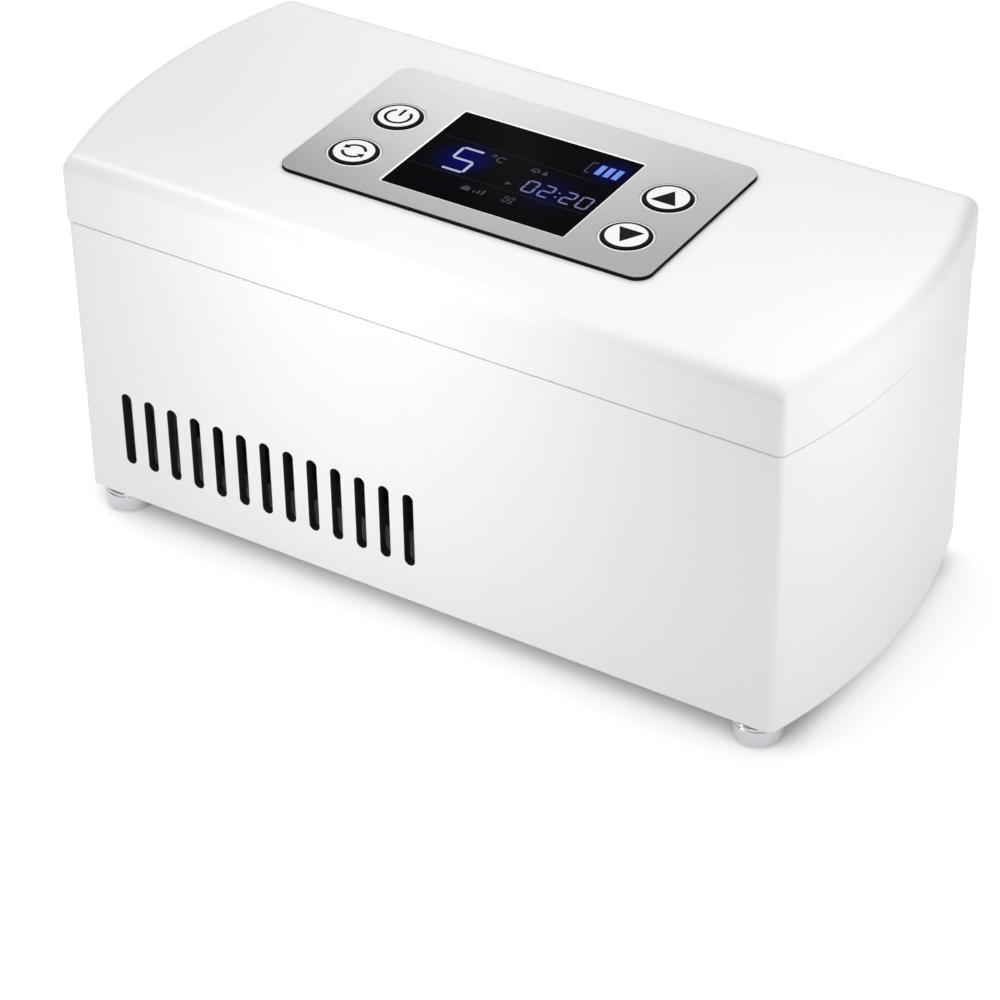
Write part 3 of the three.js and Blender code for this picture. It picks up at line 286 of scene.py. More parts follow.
@dataclass(frozen=True)
class Finish:
    """A finish: a colour with its roughness, and the detail that its kind adds."""

    name: str
    colour: Colour
    roughness: float

    def material(self) -> bpy.types.Material:
        """Makes the material.

        Returns:
            The material, the one already made if there is one.
        """
        found = bpy.data.materials.get(self.name)
        if found is not None:
            return found
        shader = Shader(self.name, Base_Color=self.colour, Roughness=self.roughness)
        self.dress(shader)
        return shader.material

    def dress(self, shader: Shader) -> None:
        """Adds the detail of this kind of finish."""

    def toned(self, share: float) -> Colour:
        """The colour, lighter or darker by a factor."""
        return tuple(min(1.0, part * share) for part in self.colour)

    def vary_roughness(self, shader: Shader, *layers: tuple[Socket, float]) -> None:
        """Varies the roughness about its own value.

        Args:
            shader: the material under construction.
            layers: values about one half, each with how much it varies the roughness.
        """
        roughness: Value = self.roughness
        for layer, share in layers:
            roughness = roughness + (layer - 0.5) * share
        shader.feed("Roughness", roughness)


@dataclass(frozen=True)
class MouldedPlastic(Finish):
    """Moulded plastic: a fine grain from the tool, and a faint cloudiness.

    cloud is the tone of the darkest clouds, and patch is how wide they are.
    """

    grain: float = 0.45
    depth: float = 0.006
    cloud: float = 0.985
    patch: float = 26.0

    def dress(self, shader: Shader) -> None:
        """Adds the grain and the cloudiness.

        Args:
            shader: the material under construction.
        """
        cloud, grain = shader.noise(self.patch, 3.0), shader.noise(self.grain)
        shader.feed("Base Color", shader.mixed(cloud, self.toned(self.cloud), self.colour))
        self.vary_roughness(shader, (cloud, 0.1), (grain, 0.08))
        shader.relief(grain, self.depth)


@dataclass(frozen=True)
class WorkedMetal(Finish):
    """Metal with the fine lines that its working leaves, along the axes with a low stretch.

    line is how wide they are, and patch how wide the clouds in the gloss are. The colour darkens to
    black by the share fade, over the distances painted_shade_reach from the place
    painted_shade_from: painted shade.
    """

    stretch: Place = (1.0, 1.0, 1.0)
    line: float = 0.6
    depth: float = 0.004
    metallic: float = 1.0
    contrast: float = 0.08
    # fade, painted_shade_from and painted_shade_reach set the painted shade, a darkening of the
    # colour towards black.
    painted_shade: float = 0.0
    painted_shade_from: Place = (0.0, 0.0, 0.0)
    painted_shade_reach: Point = (0.0, 1.0)
    patch: float = 14.0

    def dress(self, shader: Shader) -> None:
        """Adds the lines, a cloudy gloss and any painted shade.

        Args:
            shader: the material under construction.
        """
        lines = shader.noise(self.line, 3.0, self.stretch)
        cloud = shader.noise(self.patch, 3.0)
        shader.feed("Metallic", self.metallic)
        shade = lines * 0.7 + cloud * 0.3
        colour = shader.mixed(shade, self.toned(1 - self.contrast), self.toned(1 + self.contrast))
        # Painted shade: the colour darkens towards black with the distance from painted_shade_from.
        if self.painted_shade:
            far = shader.distance_from(self.painted_shade_from).rising(*self.painted_shade_reach)
            colour = shader.mixed(far * self.painted_shade, colour, BLACK)
        shader.feed("Base Color", colour)
        self.vary_roughness(shader, (lines, 0.12), (cloud, 0.08))
        shader.relief(lines, self.depth)


@dataclass(frozen=True)
class SoftRubber(Finish):
    """Rubber or silicone: matt, with a skin of fine pits."""

    pit: float = 0.3
    depth: float = 0.02
    patch: float = 5.0

    def dress(self, shader: Shader) -> None:
        """Adds the pits and a dusty bloom.

        Args:
            shader: the material under construction.
        """
        pits, bloom = shader.cells(self.pit), shader.noise(self.patch, 4.0)
        shader.feed("Base Color", shader.mixed(bloom, self.toned(0.86), self.toned(1.1)))
        self.vary_roughness(shader, (bloom, 0.12))
        shader.relief(pits, self.depth)


@dataclass(frozen=True)
class CutFoam(Finish):
    """Closed-cell foam, cut so that its cells show."""

    cell: float = 0.9
    depth: float = 0.15

    def dress(self, shader: Shader) -> None:
        """Adds the cells.

        Args:
            shader: the material under construction.
        """
        cells = shader.cells(self.cell)
        shader.feed("Base Color", shader.mixed(cells, self.toned(0.8), self.colour))
        shader.relief(cells, self.depth)


@dataclass(frozen=True)
class CircuitBoard(Finish):
    """A lacquered circuit board with faint tracks and glass weave under the lacquer."""

    track: float = 4.0
    weave: float = 0.5
    depth: float = 0.03

    def dress(self, shader: Shader) -> None:
        """Adds the tracks and the weave.

        Args:
            shader: the material under construction.
        """
        tracks = shader.cells(self.track, "DISTANCE_TO_EDGE").rising(0.06, 0.09)
        weave = shader.noise(self.weave, 1.0)
        colour = shader.mixed(tracks, self.toned(1.9), self.colour)
        shader.feed("Base Color", shader.mixed(weave * 0.25, colour, self.toned(0.6)))
        shader.relief(1 - tracks, self.depth)


@dataclass(frozen=True)
class Ink(Finish):
    """Printed ink: flat, with slightly uneven cover."""

    patch: float = 1.2
    gloss: float = 0.08

    def dress(self, shader: Shader) -> None:
        """Adds the uneven cover.

        Args:
            shader: the material under construction.
        """
        cover = shader.noise(self.patch, 4.0)
        shader.feed("Base Color", shader.mixed(cover, self.toned(0.7), self.toned(1.3)))
        self.vary_roughness(shader, (cover, 0.2))
        shader.feed("Specular IOR Level", self.gloss)


@dataclass(frozen=True)
class Segment(Finish):
    """A lit segment of the display, with slightly uneven light."""

    strength: float = 1.0
    patch: float = 0.8

    def dress(self, shader: Shader) -> None:
        """Adds the light.

        Args:
            shader: the material under construction.
        """
        uneven = shader.noise(self.patch, 3.0)
        shader.feed("Base Color", BLACK)
        shader.feed("Specular IOR Level", 0.0)
        shader.feed("Emission Color", shader.mixed(uneven, self.toned(0.7), self.toned(1.2)))
        shader.feed("Emission Strength", self.strength)


@dataclass(frozen=True)
class Glow:
    """A faint glow painted onto the display glass round a place."""

    place: Place
    reach: float
    share: float


@dataclass(frozen=True)
class DarkGlass(Finish):
    """The display window: near-black glass with a painted glow round the lit segments."""

    glow_colour: Colour = BLACK
    glows: tuple[Glow, ...] = ()
    smear: float = 9.0
    # How wide the patches are of the faint painted glow over the whole glass.
    glow_patch: float = 3.0
    gloss: float = 0.004

    def dress(self, shader: Shader) -> None:
        """Adds the smears on the glass and the painted glow.

        Args:
            shader: the material under construction.
        """
        self.vary_roughness(shader, (shader.noise(self.smear, 4.0), 0.06))
        shader.feed("Specular IOR Level", self.gloss)
        # Painted glow: faint uneven light over the whole glass, and more round each glow's place.
        light: Value = shader.noise(self.glow_patch) * 0.02
        for glow in self.glows:
            near = 1 - shader.distance_from(glow.place).rising(0.0, glow.reach)
            light = light + near * glow.share
        shader.feed("Emission Color", shader.mixed(light, BLACK, self.glow_colour))
        shader.feed("Emission Strength", 1.0)


WHITE_CASE = MouldedPlastic("white_case_plastic", (0.86, 0.865, 0.87), 0.34)
WHITE_INNER = MouldedPlastic("white_inner_plastic", (0.8, 0.805, 0.81), 0.45, grain=0.6, depth=0.01)
# Near-black painted shade for the sides of the slots and the inside of the long walls.
PAINTED_INSIDE_SHADE = MouldedPlastic("painted_inside_shade", (0.006, 0.006, 0.007), 0.8, depth=0.01)
KEY_WHITE = MouldedPlastic("key_white_plastic", (0.9, 0.9, 0.9), 0.4, grain=0.3, depth=0.003)
BLACK_PLASTIC = MouldedPlastic("black_plastic", (0.012, 0.012, 0.013), 0.5, depth=0.02, cloud=0.8)
SILVER = WorkedMetal(
    "silver_plate",
    (0.62, 0.625, 0.63),
    0.34,
    line=0.3,
    depth=0.003,
    metallic=0.7,
    contrast=0.3,
    # Painted shade: the plate darkens towards its front right, where it reflects less light.
    painted_shade=0.5,
    painted_shade_from=(-150.0, 300.0, 102.0),
    painted_shade_reach=(285.0, 385.0),
)
CUT_EDGE = WorkedMetal("cut_plate_edge", (0.93, 0.93, 0.94), 0.3, (8.0, 8.0, 1.0), metallic=0.2)
# Near-black for the panel plate's upright sides: their dark colour and a painted shade along the
# plate's raised edge.
DARK_EDGE_AND_SHADE = Ink("plate_edge_and_painted_shade", (0.006, 0.006, 0.006), 0.6)
CHROME = WorkedMetal("chromed_foot", (0.62, 0.63, 0.65), 0.12, (1.0, 1.0, 9.0), line=3.0)
DRAWN_ALUMINIUM = WorkedMetal("drawn_aluminium", (0.7, 0.71, 0.72), 0.36, (0.3, 3.0, 1.0))
BLACK_ANODISED = WorkedMetal("black_anodised_fins", (0.02, 0.02, 0.022), 0.45, (1.0, 0.2, 4.0))
STEEL = WorkedMetal("bright_steel", (0.52, 0.53, 0.54), 0.26, (6.0, 1.0, 6.0))
RUBBER = SoftRubber("foot_rubber", (0.02, 0.02, 0.022), 0.82)
SILICONE = SoftRubber("grey_silicone", (0.56, 0.58, 0.6), 0.6)
FOAM = CutFoam("white_foam", (0.74, 0.76, 0.78), 0.95)
CERAMIC = CutFoam("ceramic_plates", (0.78, 0.77, 0.74), 0.6, cell=0.12)
BOARD = CircuitBoard("green_board", (0.012, 0.11, 0.045), 0.4)
WRAP = MouldedPlastic("cell_wrap", (0.03, 0.15, 0.45), 0.35, cloud=0.9)
LEAD_RED = MouldedPlastic("red_lead", (0.45, 0.012, 0.012), 0.45)
LEAD_BLACK = MouldedPlastic("black_lead", (0.01, 0.01, 0.01), 0.45)
LEAD_GREY = MouldedPlastic("grey_lead", (0.28, 0.29, 0.31), 0.45)
INK = Ink("black_ink", (0.003, 0.003, 0.003), 0.6)
LIT_DIGIT = Segment("lit_digit", (0.5, 0.5, 0.74), 1.0)
LIT_CLOCK = Segment("lit_clock", (0.2, 0.2, 0.42), 1.0)
LIT_BAR = Segment("lit_bar", (0.2, 0.32, 1.0), 1.0)
DIM_MARK = Segment("dim_mark", (0.07, 0.07, 0.09), 1.0)
FAINT_LINE = Segment("faint_line", (0.018, 0.018, 0.024), 1.0)


# ---- Plans and sections


def arc(x: float, y: float, radius: float, start: float, end: float, steps: int) -> list[Point]:
    """Points on an arc, both ends included."""
    turns = [start + (end - start) * i / steps for i in range(steps + 1)]
    return [(x + radius * math.cos(turn), y + radius * math.sin(turn)) for turn in turns]


def circle(x: float, y: float, steps: int = 72) -> Plan:
    """A plan of circles about a point, by their radius."""
    return lambda radius: arc(x, y, radius, 0.0, math.tau, steps)[:-1]


def rounded(x: float, y: float, length: float, depth: float, radius: float, steps: int = 8) -> Plan:
    """Makes a plan of rectangles with round corners.

    Args:
        x: their middle along X.
        y: their middle along Y.
        length: the size along X of the one that isn't drawn in.
        depth: its size along Y.
        radius: the radius of its corners.
        steps: how many edges a corner has.

    Returns:
        The plan, by how far a rectangle is drawn in.
    """

    def drawn_in(inset: float) -> list[Point]:
        """One of the rectangles.

        Args:
            inset: how far it is drawn in.

        Returns:
            Its points.
        """
        corner = max(radius - inset, HAIR)
        right, rear = length / 2 - inset - corner, depth / 2 - inset - corner
        points: list[Point] = []
        for i, (sx, sy) in enumerate(((1, 1), (-1, 1), (-1, -1), (1, -1))):
            start = i * math.pi / 2
            points += arc(x + sx * right, y + sy * rear, corner, start, start + math.pi / 2, steps)
        return points

    return drawn_in


def polygon(points: Sequence[Point]) -> Plan:
    """A plan that is the same polygon at any inset."""
    return lambda inset: list(points)


def eased(corners: Sequence[tuple[float, float, float]], steps: int = 4) -> list[Point]:
    """Rounds the corners of a section.

    Args:
        corners: each corner's two coordinates and its radius, 0 for a sharp one.
        steps: how many edges each rounding has.

    Returns:
        The points of the section.
    """
    points: list[Point] = []
    for i, (u, v, radius) in enumerate(corners):
        here = Vector((u, v))
        if radius == 0:
            points.append((u, v))
            continue
        back = (Vector(corners[i - 1][:2]) - here).normalized()
        onward = (Vector(corners[(i + 1) % len(corners)][:2]) - here).normalized()
        half = back.angle(onward) / 2
        centre = here + (back + onward).normalized() * (radius / math.sin(half))
        start = here + back * (radius / math.tan(half)) - centre
        end = here + onward * (radius / math.tan(half)) - centre
        sweep = start.angle_signed(end)
        for k in range(steps + 1):
            turned = Matrix.Rotation(-sweep * k / steps, 2) @ start
            points.append(tuple(centre + turned))
    return points


# ---- Solids


class Solid:
    """A closed mesh in millimetres that can be turned, joined and cut."""

    def __init__(self, made: bmesh.types.BMesh) -> None:
        """Takes over a bmesh and points its faces outwards.

        Args:
            made: the bmesh.
        """
        bmesh.ops.recalc_face_normals(made, faces=made.faces)
        self.mesh = bpy.data.meshes.new("solid")
        made.to_mesh(self.mesh)
        made.free()

    @classmethod
    def swept(cls, plan: Plan, section: Sequence[Point], closed: bool = False) -> "Solid":
        """Runs a section round a plan.

        Args:
            plan: gives the outline for the first coordinate of the section.
            section: pairs of that coordinate and a height.
            closed: True where the section is a loop, so that the solid is a ring.

        Returns:
            The solid.
        """
        made = bmesh.new()
        rings = [[made.verts.new((x, y, z)) for x, y in plan(u)] for u, z in section]
        pairs = list(zip(rings, rings[1:])) + ([(rings[-1], rings[0])] if closed else [])
        for low, high in pairs:
            for i, corner in enumerate(low):
                j = (i + 1) % len(low)
                made.faces.new((corner, low[j], high[j], high[i]))
        if not closed:
            made.faces.new(rings[0])
            made.faces.new(rings[-1])
        return cls(made)

    @classmethod
    def plate(
        cls, plan: Plan, low: float, high: float, edge: float = 0.0, top_edge: float = 0.0
    ) -> "Solid":
        """Makes a plate between two heights.

        Args:
            plan: its outline, by how far it is drawn in.
            low: its underside.
            high: its top.
            edge: the radius of its lower rim.
            top_edge: the radius of its upper rim.

        Returns:
            The solid.
        """
        middle = max(edge, top_edge) * 2 + HAIR
        corners = ((middle, low, 0.0), (0.0, low, edge), (0.0, high, top_edge), (middle, high, 0.0))
        return cls.swept(plan, eased(corners))

    @classmethod
    def post(
        cls, x: float, y: float, radius: float, low: float, high: float, steps: int = 48
    ) -> "Solid":
        """An upright cylinder between two heights."""
        return cls.swept(circle(x, y, steps), [(radius, low), (radius, high)])

    @classmethod
    def box(cls, x0: float, x1: float, y0: float, y1: float, z0: float, z1: float) -> "Solid":
        """A box between two corners."""
        plan = polygon([(x0, y0), (x1, y0), (x1, y1), (x0, y1)])
        return cls.swept(plan, [(0.0, z0), (0.0, z1)])

    @classmethod
    def together(cls, parts: Sequence["Solid"]) -> "Solid":
        """Puts several solids into one mesh.

        Args:
            parts: the solids.

        Returns:
            The mesh as one solid.
        """
        made = bmesh.new()
        for part in parts:
            made.from_mesh(part.mesh)
        return cls(made)

    def placed(self, axis: Axis, x: float = 0.0, y: float = 0.0, z: float = 0.0) -> "Solid":
        """Turns the solid to face along an axis and moves it."""
        self.mesh.transform(Matrix.Translation((x, y, z)) @ axis.value)
        return self

    def combined(self, operation: str, others: Sequence["Solid"]) -> "Solid":
        """Runs one boolean with other solids.

        Args:
            operation: UNION or DIFFERENCE.
            others: the other solids, which don't touch each other.

        Returns:
            This solid.
        """
        host = bpy.data.objects.new("host", self.mesh)
        tool = bpy.data.objects.new("tool", Solid.together(others).mesh)
        for thing in (host, tool):
            bpy.context.scene.collection.objects.link(thing)
        modifier = host.modifiers.new("carve", "BOOLEAN")
        modifier.operation = operation
        modifier.solver = "EXACT"
        modifier.object = tool
        graph = bpy.context.evaluated_depsgraph_get()
        self.mesh = bpy.data.meshes.new_from_object(host.evaluated_get(graph))
        for thing in (host, tool):
            bpy.data.objects.remove(thing)
        return self

    def cut(self, *others: "Solid") -> "Solid":
        """Takes other solids away."""
        return self.combined("DIFFERENCE", others)

    def join(self, *others: "Solid") -> "Solid":
        """Adds other solids."""
        return self.combined("UNION", others)

    def show(
        self,
        name: str,
        body: Body,
        finishes: Sequence[Finish],
        slot: str,
        replaces: Sequence[str] = (),
        choose: Callable[[Vector, Vector], int] | None = None,
    ) -> bpy.types.Object:
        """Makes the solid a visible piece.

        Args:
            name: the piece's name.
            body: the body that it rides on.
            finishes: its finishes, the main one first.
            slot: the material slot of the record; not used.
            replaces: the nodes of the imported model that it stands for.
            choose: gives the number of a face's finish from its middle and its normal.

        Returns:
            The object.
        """
        mesh = self.mesh
        mesh.name = name
        mesh.materials.clear()
        for finish in finishes:
            mesh.materials.append(finish.material())
        for face in mesh.polygons:
            face.material_index = choose(face.center, face.normal) if choose else 0
        mesh.transform(Matrix.Scale(METRES, 4))
        mesh.shade_smooth()
        mesh.set_sharp_from_angle(angle=math.radians(SHARP_DEGREES))
        piece = bpy.data.objects.new(name, mesh)
        bpy.context.scene.collection.objects.link(piece)
        weighted = piece.modifiers.new("weighted", "WEIGHTED_NORMAL")
        weighted.keep_sharp = True
        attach(piece, body.value)
        if replaces:
            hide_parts(*replaces)
        log.info("%s: %d faces on %s", name, len(mesh.polygons), body.value)
        return piece


def corner_names(x: float, y: float) -> list[tuple[str, float, float]]:
    """The names and places of the four corners of a rectangle about the middle."""
    corners = (("front_left", -x, -y), ("front_right", x, -y), ("rear_left", -x, y))
    return [*corners, ("rear_right", x, y)]


# ---- The case


@dataclass(frozen=True)
class CaseForm:
    """The plan and the heights that the body and the lid share."""

    length: float = 210.0
    depth: float = 95.6
    end_bulge: float = 8.2
    end_steps: int = 40
    corner_radius: float = 2.2
    corner_steps: int = 10
    wall: float = 2.4
    seam_step: float = 0.4
    bottom: float = 6.5
    rim: float = 83.5
    lid_bottom: float = 84.0
    top: float = 101.4
    lid_edge: float = 4.2
    foot_x: float = 90.0
    foot_y: float = 41.0

    def plan(self, inset: float) -> list[Point]:
        """The outline of the case: two long sides, bowed ends and round corners.

        Args:
            inset: how far it is drawn in.

        Returns:
            Its points.
        """
        half = self.depth / 2
        end_radius = (half**2 + self.end_bulge**2) / (2 * self.end_bulge)
        centre = self.length / 2 - end_radius
        big, small = end_radius - inset, self.corner_radius
        side = half - inset - small
        turn = math.asin(side / (big - small))
        x = centre + (big - small) * math.cos(turn)
        quarter, ends, corners = math.pi / 2, self.end_steps, self.corner_steps
        points = arc(centre, 0.0, big, -turn, turn, ends)
        points += arc(x, side, small, turn, quarter, corners)[1:]
        points += arc(-x, side, small, quarter, math.pi - turn, corners)
        points += arc(-centre, 0.0, big, math.pi - turn, math.pi + turn, ends)[1:]
        points += arc(-x, -side, small, math.pi + turn, 3 * quarter, corners)[1:]
        return points + arc(x, -side, small, 3 * quarter, 4 * quarter - turn, corners)[:-1]

    def inside(self, inset: float) -> Plan:
        """A plan of outlines that are drawn in by at least an inset."""
        return lambda more: self.plan(inset + more)

    def inner_half_depth(self) -> float:
        """How far the inside of the body's long walls is from the middle."""
        return self.depth / 2 - self.seam_step - self.wall


CASE = CaseForm()


@dataclass(frozen=True)
class Hinge:
    """The hinge: knuckles on pins, in a groove along the rear of the seam."""

    centre_x: float = 55.0
    y: float = 44.6
    z: float = 83.75
    radius: float = 3.0
    lid_knuckle: float = 16.0
    body_knuckle: float = 8.0
    knuckle_edge: float = 0.25
    pin_radius: float = 1.25
    pin_gap: float = 0.15
    pin_edge: float = 0.2
    web: float = 4.2
    web_reach: float = 0.4
    groove_degrees: float = 50.0
    notch: float = 8.0
    notch_reach: float = 1.05

    def spans(self, lid: bool) -> list[Point]:
        """The stretches along X that knuckles hold.

        Args:
            lid: True for the lid's knuckles, False for the body's.

        Returns:
            Where each stretch starts and ends.
        """
        half = self.lid_knuckle / 2
        found: list[Point] = []
        for x in (-self.centre_x, self.centre_x):
            if lid:
                found.append((x - half, x + half))
                continue
            found.append((x - half - GAP - self.body_knuckle, x - half - GAP))
            found.append((x + half + GAP, x + half + GAP + self.body_knuckle))
        return found

    def rod(self, x0: float, x1: float, radius: float, edge: float = 0.0) -> Solid:
        """Makes a rod on the hinge line.

        Args:
            x0: its left end.
            x1: its right end.
            radius: its radius.
            edge: the radius of the rims of its ends.

        Returns:
            The solid.
        """
        core = radius / 2
        corners = ((core, x0, 0.0), (radius, x0, edge), (radius, x1, edge), (core, x1, 0.0))
        rod = Solid.swept(circle(0.0, 0.0, 48), eased(corners))
        return rod.placed(Axis.RIGHT, 0.0, self.y, self.z)

    def knuckles(self, lid: bool, wall_y: float) -> list[Solid]:
        """Makes the knuckles of one side, each with the web that ties it to its wall.

        Args:
            lid: True for the lid's knuckles, False for the body's.
            wall_y: the inside of the wall.

        Returns:
            The solids.
        """
        made = []
        for x0, x1 in self.spans(lid):
            low, high = (self.z, self.z + self.web) if lid else (self.z - self.web, self.z)
            web = Solid.box(x0, x1, self.y - self.radius, wall_y + self.web_reach, low, high)
            made.append(self.rod(x0, x1, self.radius, self.knuckle_edge).join(web))
        return made

    def rooms(self, lid: bool) -> list[Solid]:
        """Room for the knuckles of the other side."""
        radius = self.radius + GAP
        return [self.rod(x0 - GAP, x1 + GAP, radius) for x0, x1 in self.spans(not lid)]

    def webs_room(self, lid: bool) -> list[Solid]:
        """Makes room for the knuckles of the same side, in the plate that lies inside them.

        Args:
            lid: True for the lid's plate, False for the body's.

        Returns:
            The solids to cut away.
        """
        reach = self.radius + GAP
        if lid:
            low, high = self.z - reach, self.z + self.web + GAP
        else:
            low, high = self.z - self.web - GAP, self.z + reach
        return [
            Solid.box(x0 - GAP, x1 + GAP, self.y - reach, CASE.depth, low, high)
            for x0, x1 in self.spans(lid)
        ]

    def groove(self, up: float) -> Solid:
        """Makes the groove that lets the lid swing past upright.

        Args:
            up: 1 for the lid's half of it, -1 for the body's.

        Returns:
            The solid to cut away.
        """
        reach = CASE.depth / 2 - self.y + OVERRUN
        rise = reach * math.tan(math.radians(self.groove_degrees))
        y, z, rear = self.y, self.z, self.y + reach
        points = [(y, z), (rear, z + up * rise), (rear, z - up * OVERRUN), (y, z - up * OVERRUN)]
        half = CASE.length / 2 + OVERRUN
        prism = Solid.swept(polygon([(-pz, py) for py, pz in points]), [(0.0, -half), (0.0, half)])
        return prism.placed(Axis.RIGHT)

    def lead_room(self, low: float, high: float, rear: float | None = None) -> Solid:
        """Makes room for the leads that cross the seam.

        Args:
            low: where it starts.
            high: where it ends.
            rear: how far back it reaches, if not just past the leads.

        Returns:
            The solid to cut away.
        """
        back = self.y + self.notch_reach if rear is None else rear
        return Solid.box(-self.notch, self.notch, self.y - self.radius, back, low, high)

    def bores(self) -> list[Solid]:
        """Makes the bores for both pins.

        Returns:
            The solids to cut away.
        """
        half = self.lid_knuckle / 2 + self.body_knuckle + GAP + OVERRUN
        radius = self.pin_radius + self.pin_gap
        return [self.rod(x - half, x + half, radius) for x in (-self.centre_x, self.centre_x)]

    def build(self) -> None:
        """Makes the pins."""
        half = self.lid_knuckle / 2 + GAP + self.body_knuckle
        for side, x in (("left", -self.centre_x), ("right", self.centre_x)):
            pin = self.rod(x - half, x + half, self.pin_radius, self.pin_edge)
            node = f"hinge_pin_{side}"
            pin.show(f"steel_pin_{side}", Body.CASE, [STEEL], "screw_steel", [node])


HINGE = Hinge()


@dataclass(frozen=True)
class BodyShell:
    """The body's shell with its air slots, its hinge knuckles and the hole for the power inlet."""

    lip: float = 0.2
    bottom_edge: float = 0.5
    slot_count: int = 13
    slot_first_x: float = -83.6
    slot_pitch: float = 6.86
    slot_width: float = 2.8
    slot_length: float = 20.5
    slot_z: float = 27.6
    slot_flare: float = 0.3
    inlet_radius: float = 4.3
    lead_room: float = 10.0
    # How far below the rim the painted shade on the inside of the long walls ends.
    shade_top: float = 12.0
    margin: float = 0.1

    def slot(self, axis: Axis, x: float, y: float) -> Solid:
        """Makes one air slot with a softened mouth.

        Args:
            axis: the way that its mouth faces.
            x: its place along the wall.
            y: the outside of the wall.

        Returns:
            The solid to cut away.
        """
        plan = rounded(0.0, 0.0, self.slot_width, self.slot_length, self.slot_width / 2, 10)
        flare = self.slot_flare
        section = [(0.0, -CASE.wall - PAST), (0.0, -flare)]
        section += [(-flare / 3, -flare / 3), (-flare, 0.0), (-flare, PAST)]
        return Solid.swept(plan, section).placed(axis, x, y, self.slot_z)

    def build(self) -> None:
        """Makes the shell."""
        outer, inner = CASE.seam_step, CASE.seam_step + CASE.wall
        section = eased(
            (
                (outer, CASE.bottom, self.bottom_edge),
                (outer, CASE.rim, self.lip),
                (inner, CASE.rim, self.lip),
                (inner, CASE.bottom, 0.0),
            )
        )
        shell = Solid.swept(CASE.plan, section, closed=True)
        wall_y = CASE.depth / 2 - CASE.seam_step
        slots = []
        for i in range(self.slot_count):
            x = self.slot_first_x + i * self.slot_pitch
            slots += [self.slot(Axis.FRONT, x, -wall_y), self.slot(Axis.REAR, x, wall_y)]
        hole = Solid.post(0.0, 0.0, self.inlet_radius, -OVERRUN, OVERRUN)
        inlet_x, inlet_z = PowerInlet.middle()
        hole.placed(Axis.REAR, inlet_x, wall_y, inlet_z)
        shell.cut(*slots, hole)
        shell.cut(HINGE.groove(-1.0))
        leads = HINGE.lead_room(CASE.rim - self.lead_room, CASE.rim + PAST)
        shell.cut(*HINGE.rooms(lid=False), leads)
        shell.join(*HINGE.knuckles(False, CASE.inner_half_depth()))
        shell.cut(*HINGE.bores())
        # The second finish is the painted shade in the slots and on the inside.
        finishes = [WHITE_CASE, PAINTED_INSIDE_SHADE]
        shell.show("case_shell", Body.CASE, finishes, "white_case", ["body_shell"], self.choose)

    def choose(self, middle: Vector, normal: Vector) -> int:
        """Picks the near-black painted shade for the sides of the slots and the inside of the long
        walls behind them.

        Args:
            middle: the middle of a face.
            normal: its normal.

        Returns:
            The number of its finish.
        """
        depth = CASE.depth / 2 - CASE.seam_step - abs(middle.y)
        last_x = self.slot_first_x + (self.slot_count - 1) * self.slot_pitch
        by_slots = self.slot_first_x - self.slot_pitch < middle.x < last_x + self.slot_pitch
        level = abs(middle.z - self.slot_z) < self.slot_length / 2 + self.margin
        in_slot = by_slots and level and self.slot_flare / 2 < depth < CASE.wall - self.margin
        inwards = abs(normal.y) > 0.9 and middle.y * normal.y < 0
        return int(in_slot or (inwards and middle.z < CASE.rim - self.shade_top))


@dataclass(frozen=True)
class BasePlate:
    """The plate that closes the body from below, with the intake slots under the fan."""

    low: float = 6.8
    high: float = 9.2
    inset: float = 3.1
    edge: float = 0.4
    slot_width: float = 3.0
    slot_count: int = 7
    slot_pitch: float = 6.0
    slot_edge: float = 0.3
    fan_x: float = -42.44
    fan_radius: float = 28.2
    chord_share: float = 0.9
    stud_radius: float = 2.1

    def build(self) -> None:
        """Makes the plate."""
        plate = Solid.plate(CASE.inside(self.inset), self.low, self.high, self.edge)
        below, above, edge = self.low - PAST, self.high + PAST, self.slot_edge
        section = [(-edge, below), (-edge, self.low), (0.0, self.low + edge), (0.0, above)]
        cuts = []
        for i in range(self.slot_count):
            y = (i - (self.slot_count - 1) / 2) * self.slot_pitch
            length = 2 * math.sqrt(self.fan_radius**2 - y**2) * self.chord_share
            plan = rounded(self.fan_x, y, length, self.slot_width, self.slot_width / 2)
            cuts.append(Solid.swept(plan, section))
        for _, x, y in corner_names(CASE.foot_x, CASE.foot_y):
            cuts.append(Solid.post(x, y, self.stud_radius, below, above, 32))
        plate.cut(*cuts)
        plate.show("closing_plate", Body.CASE, [WHITE_INNER], "white_inner", ["base_plate"])


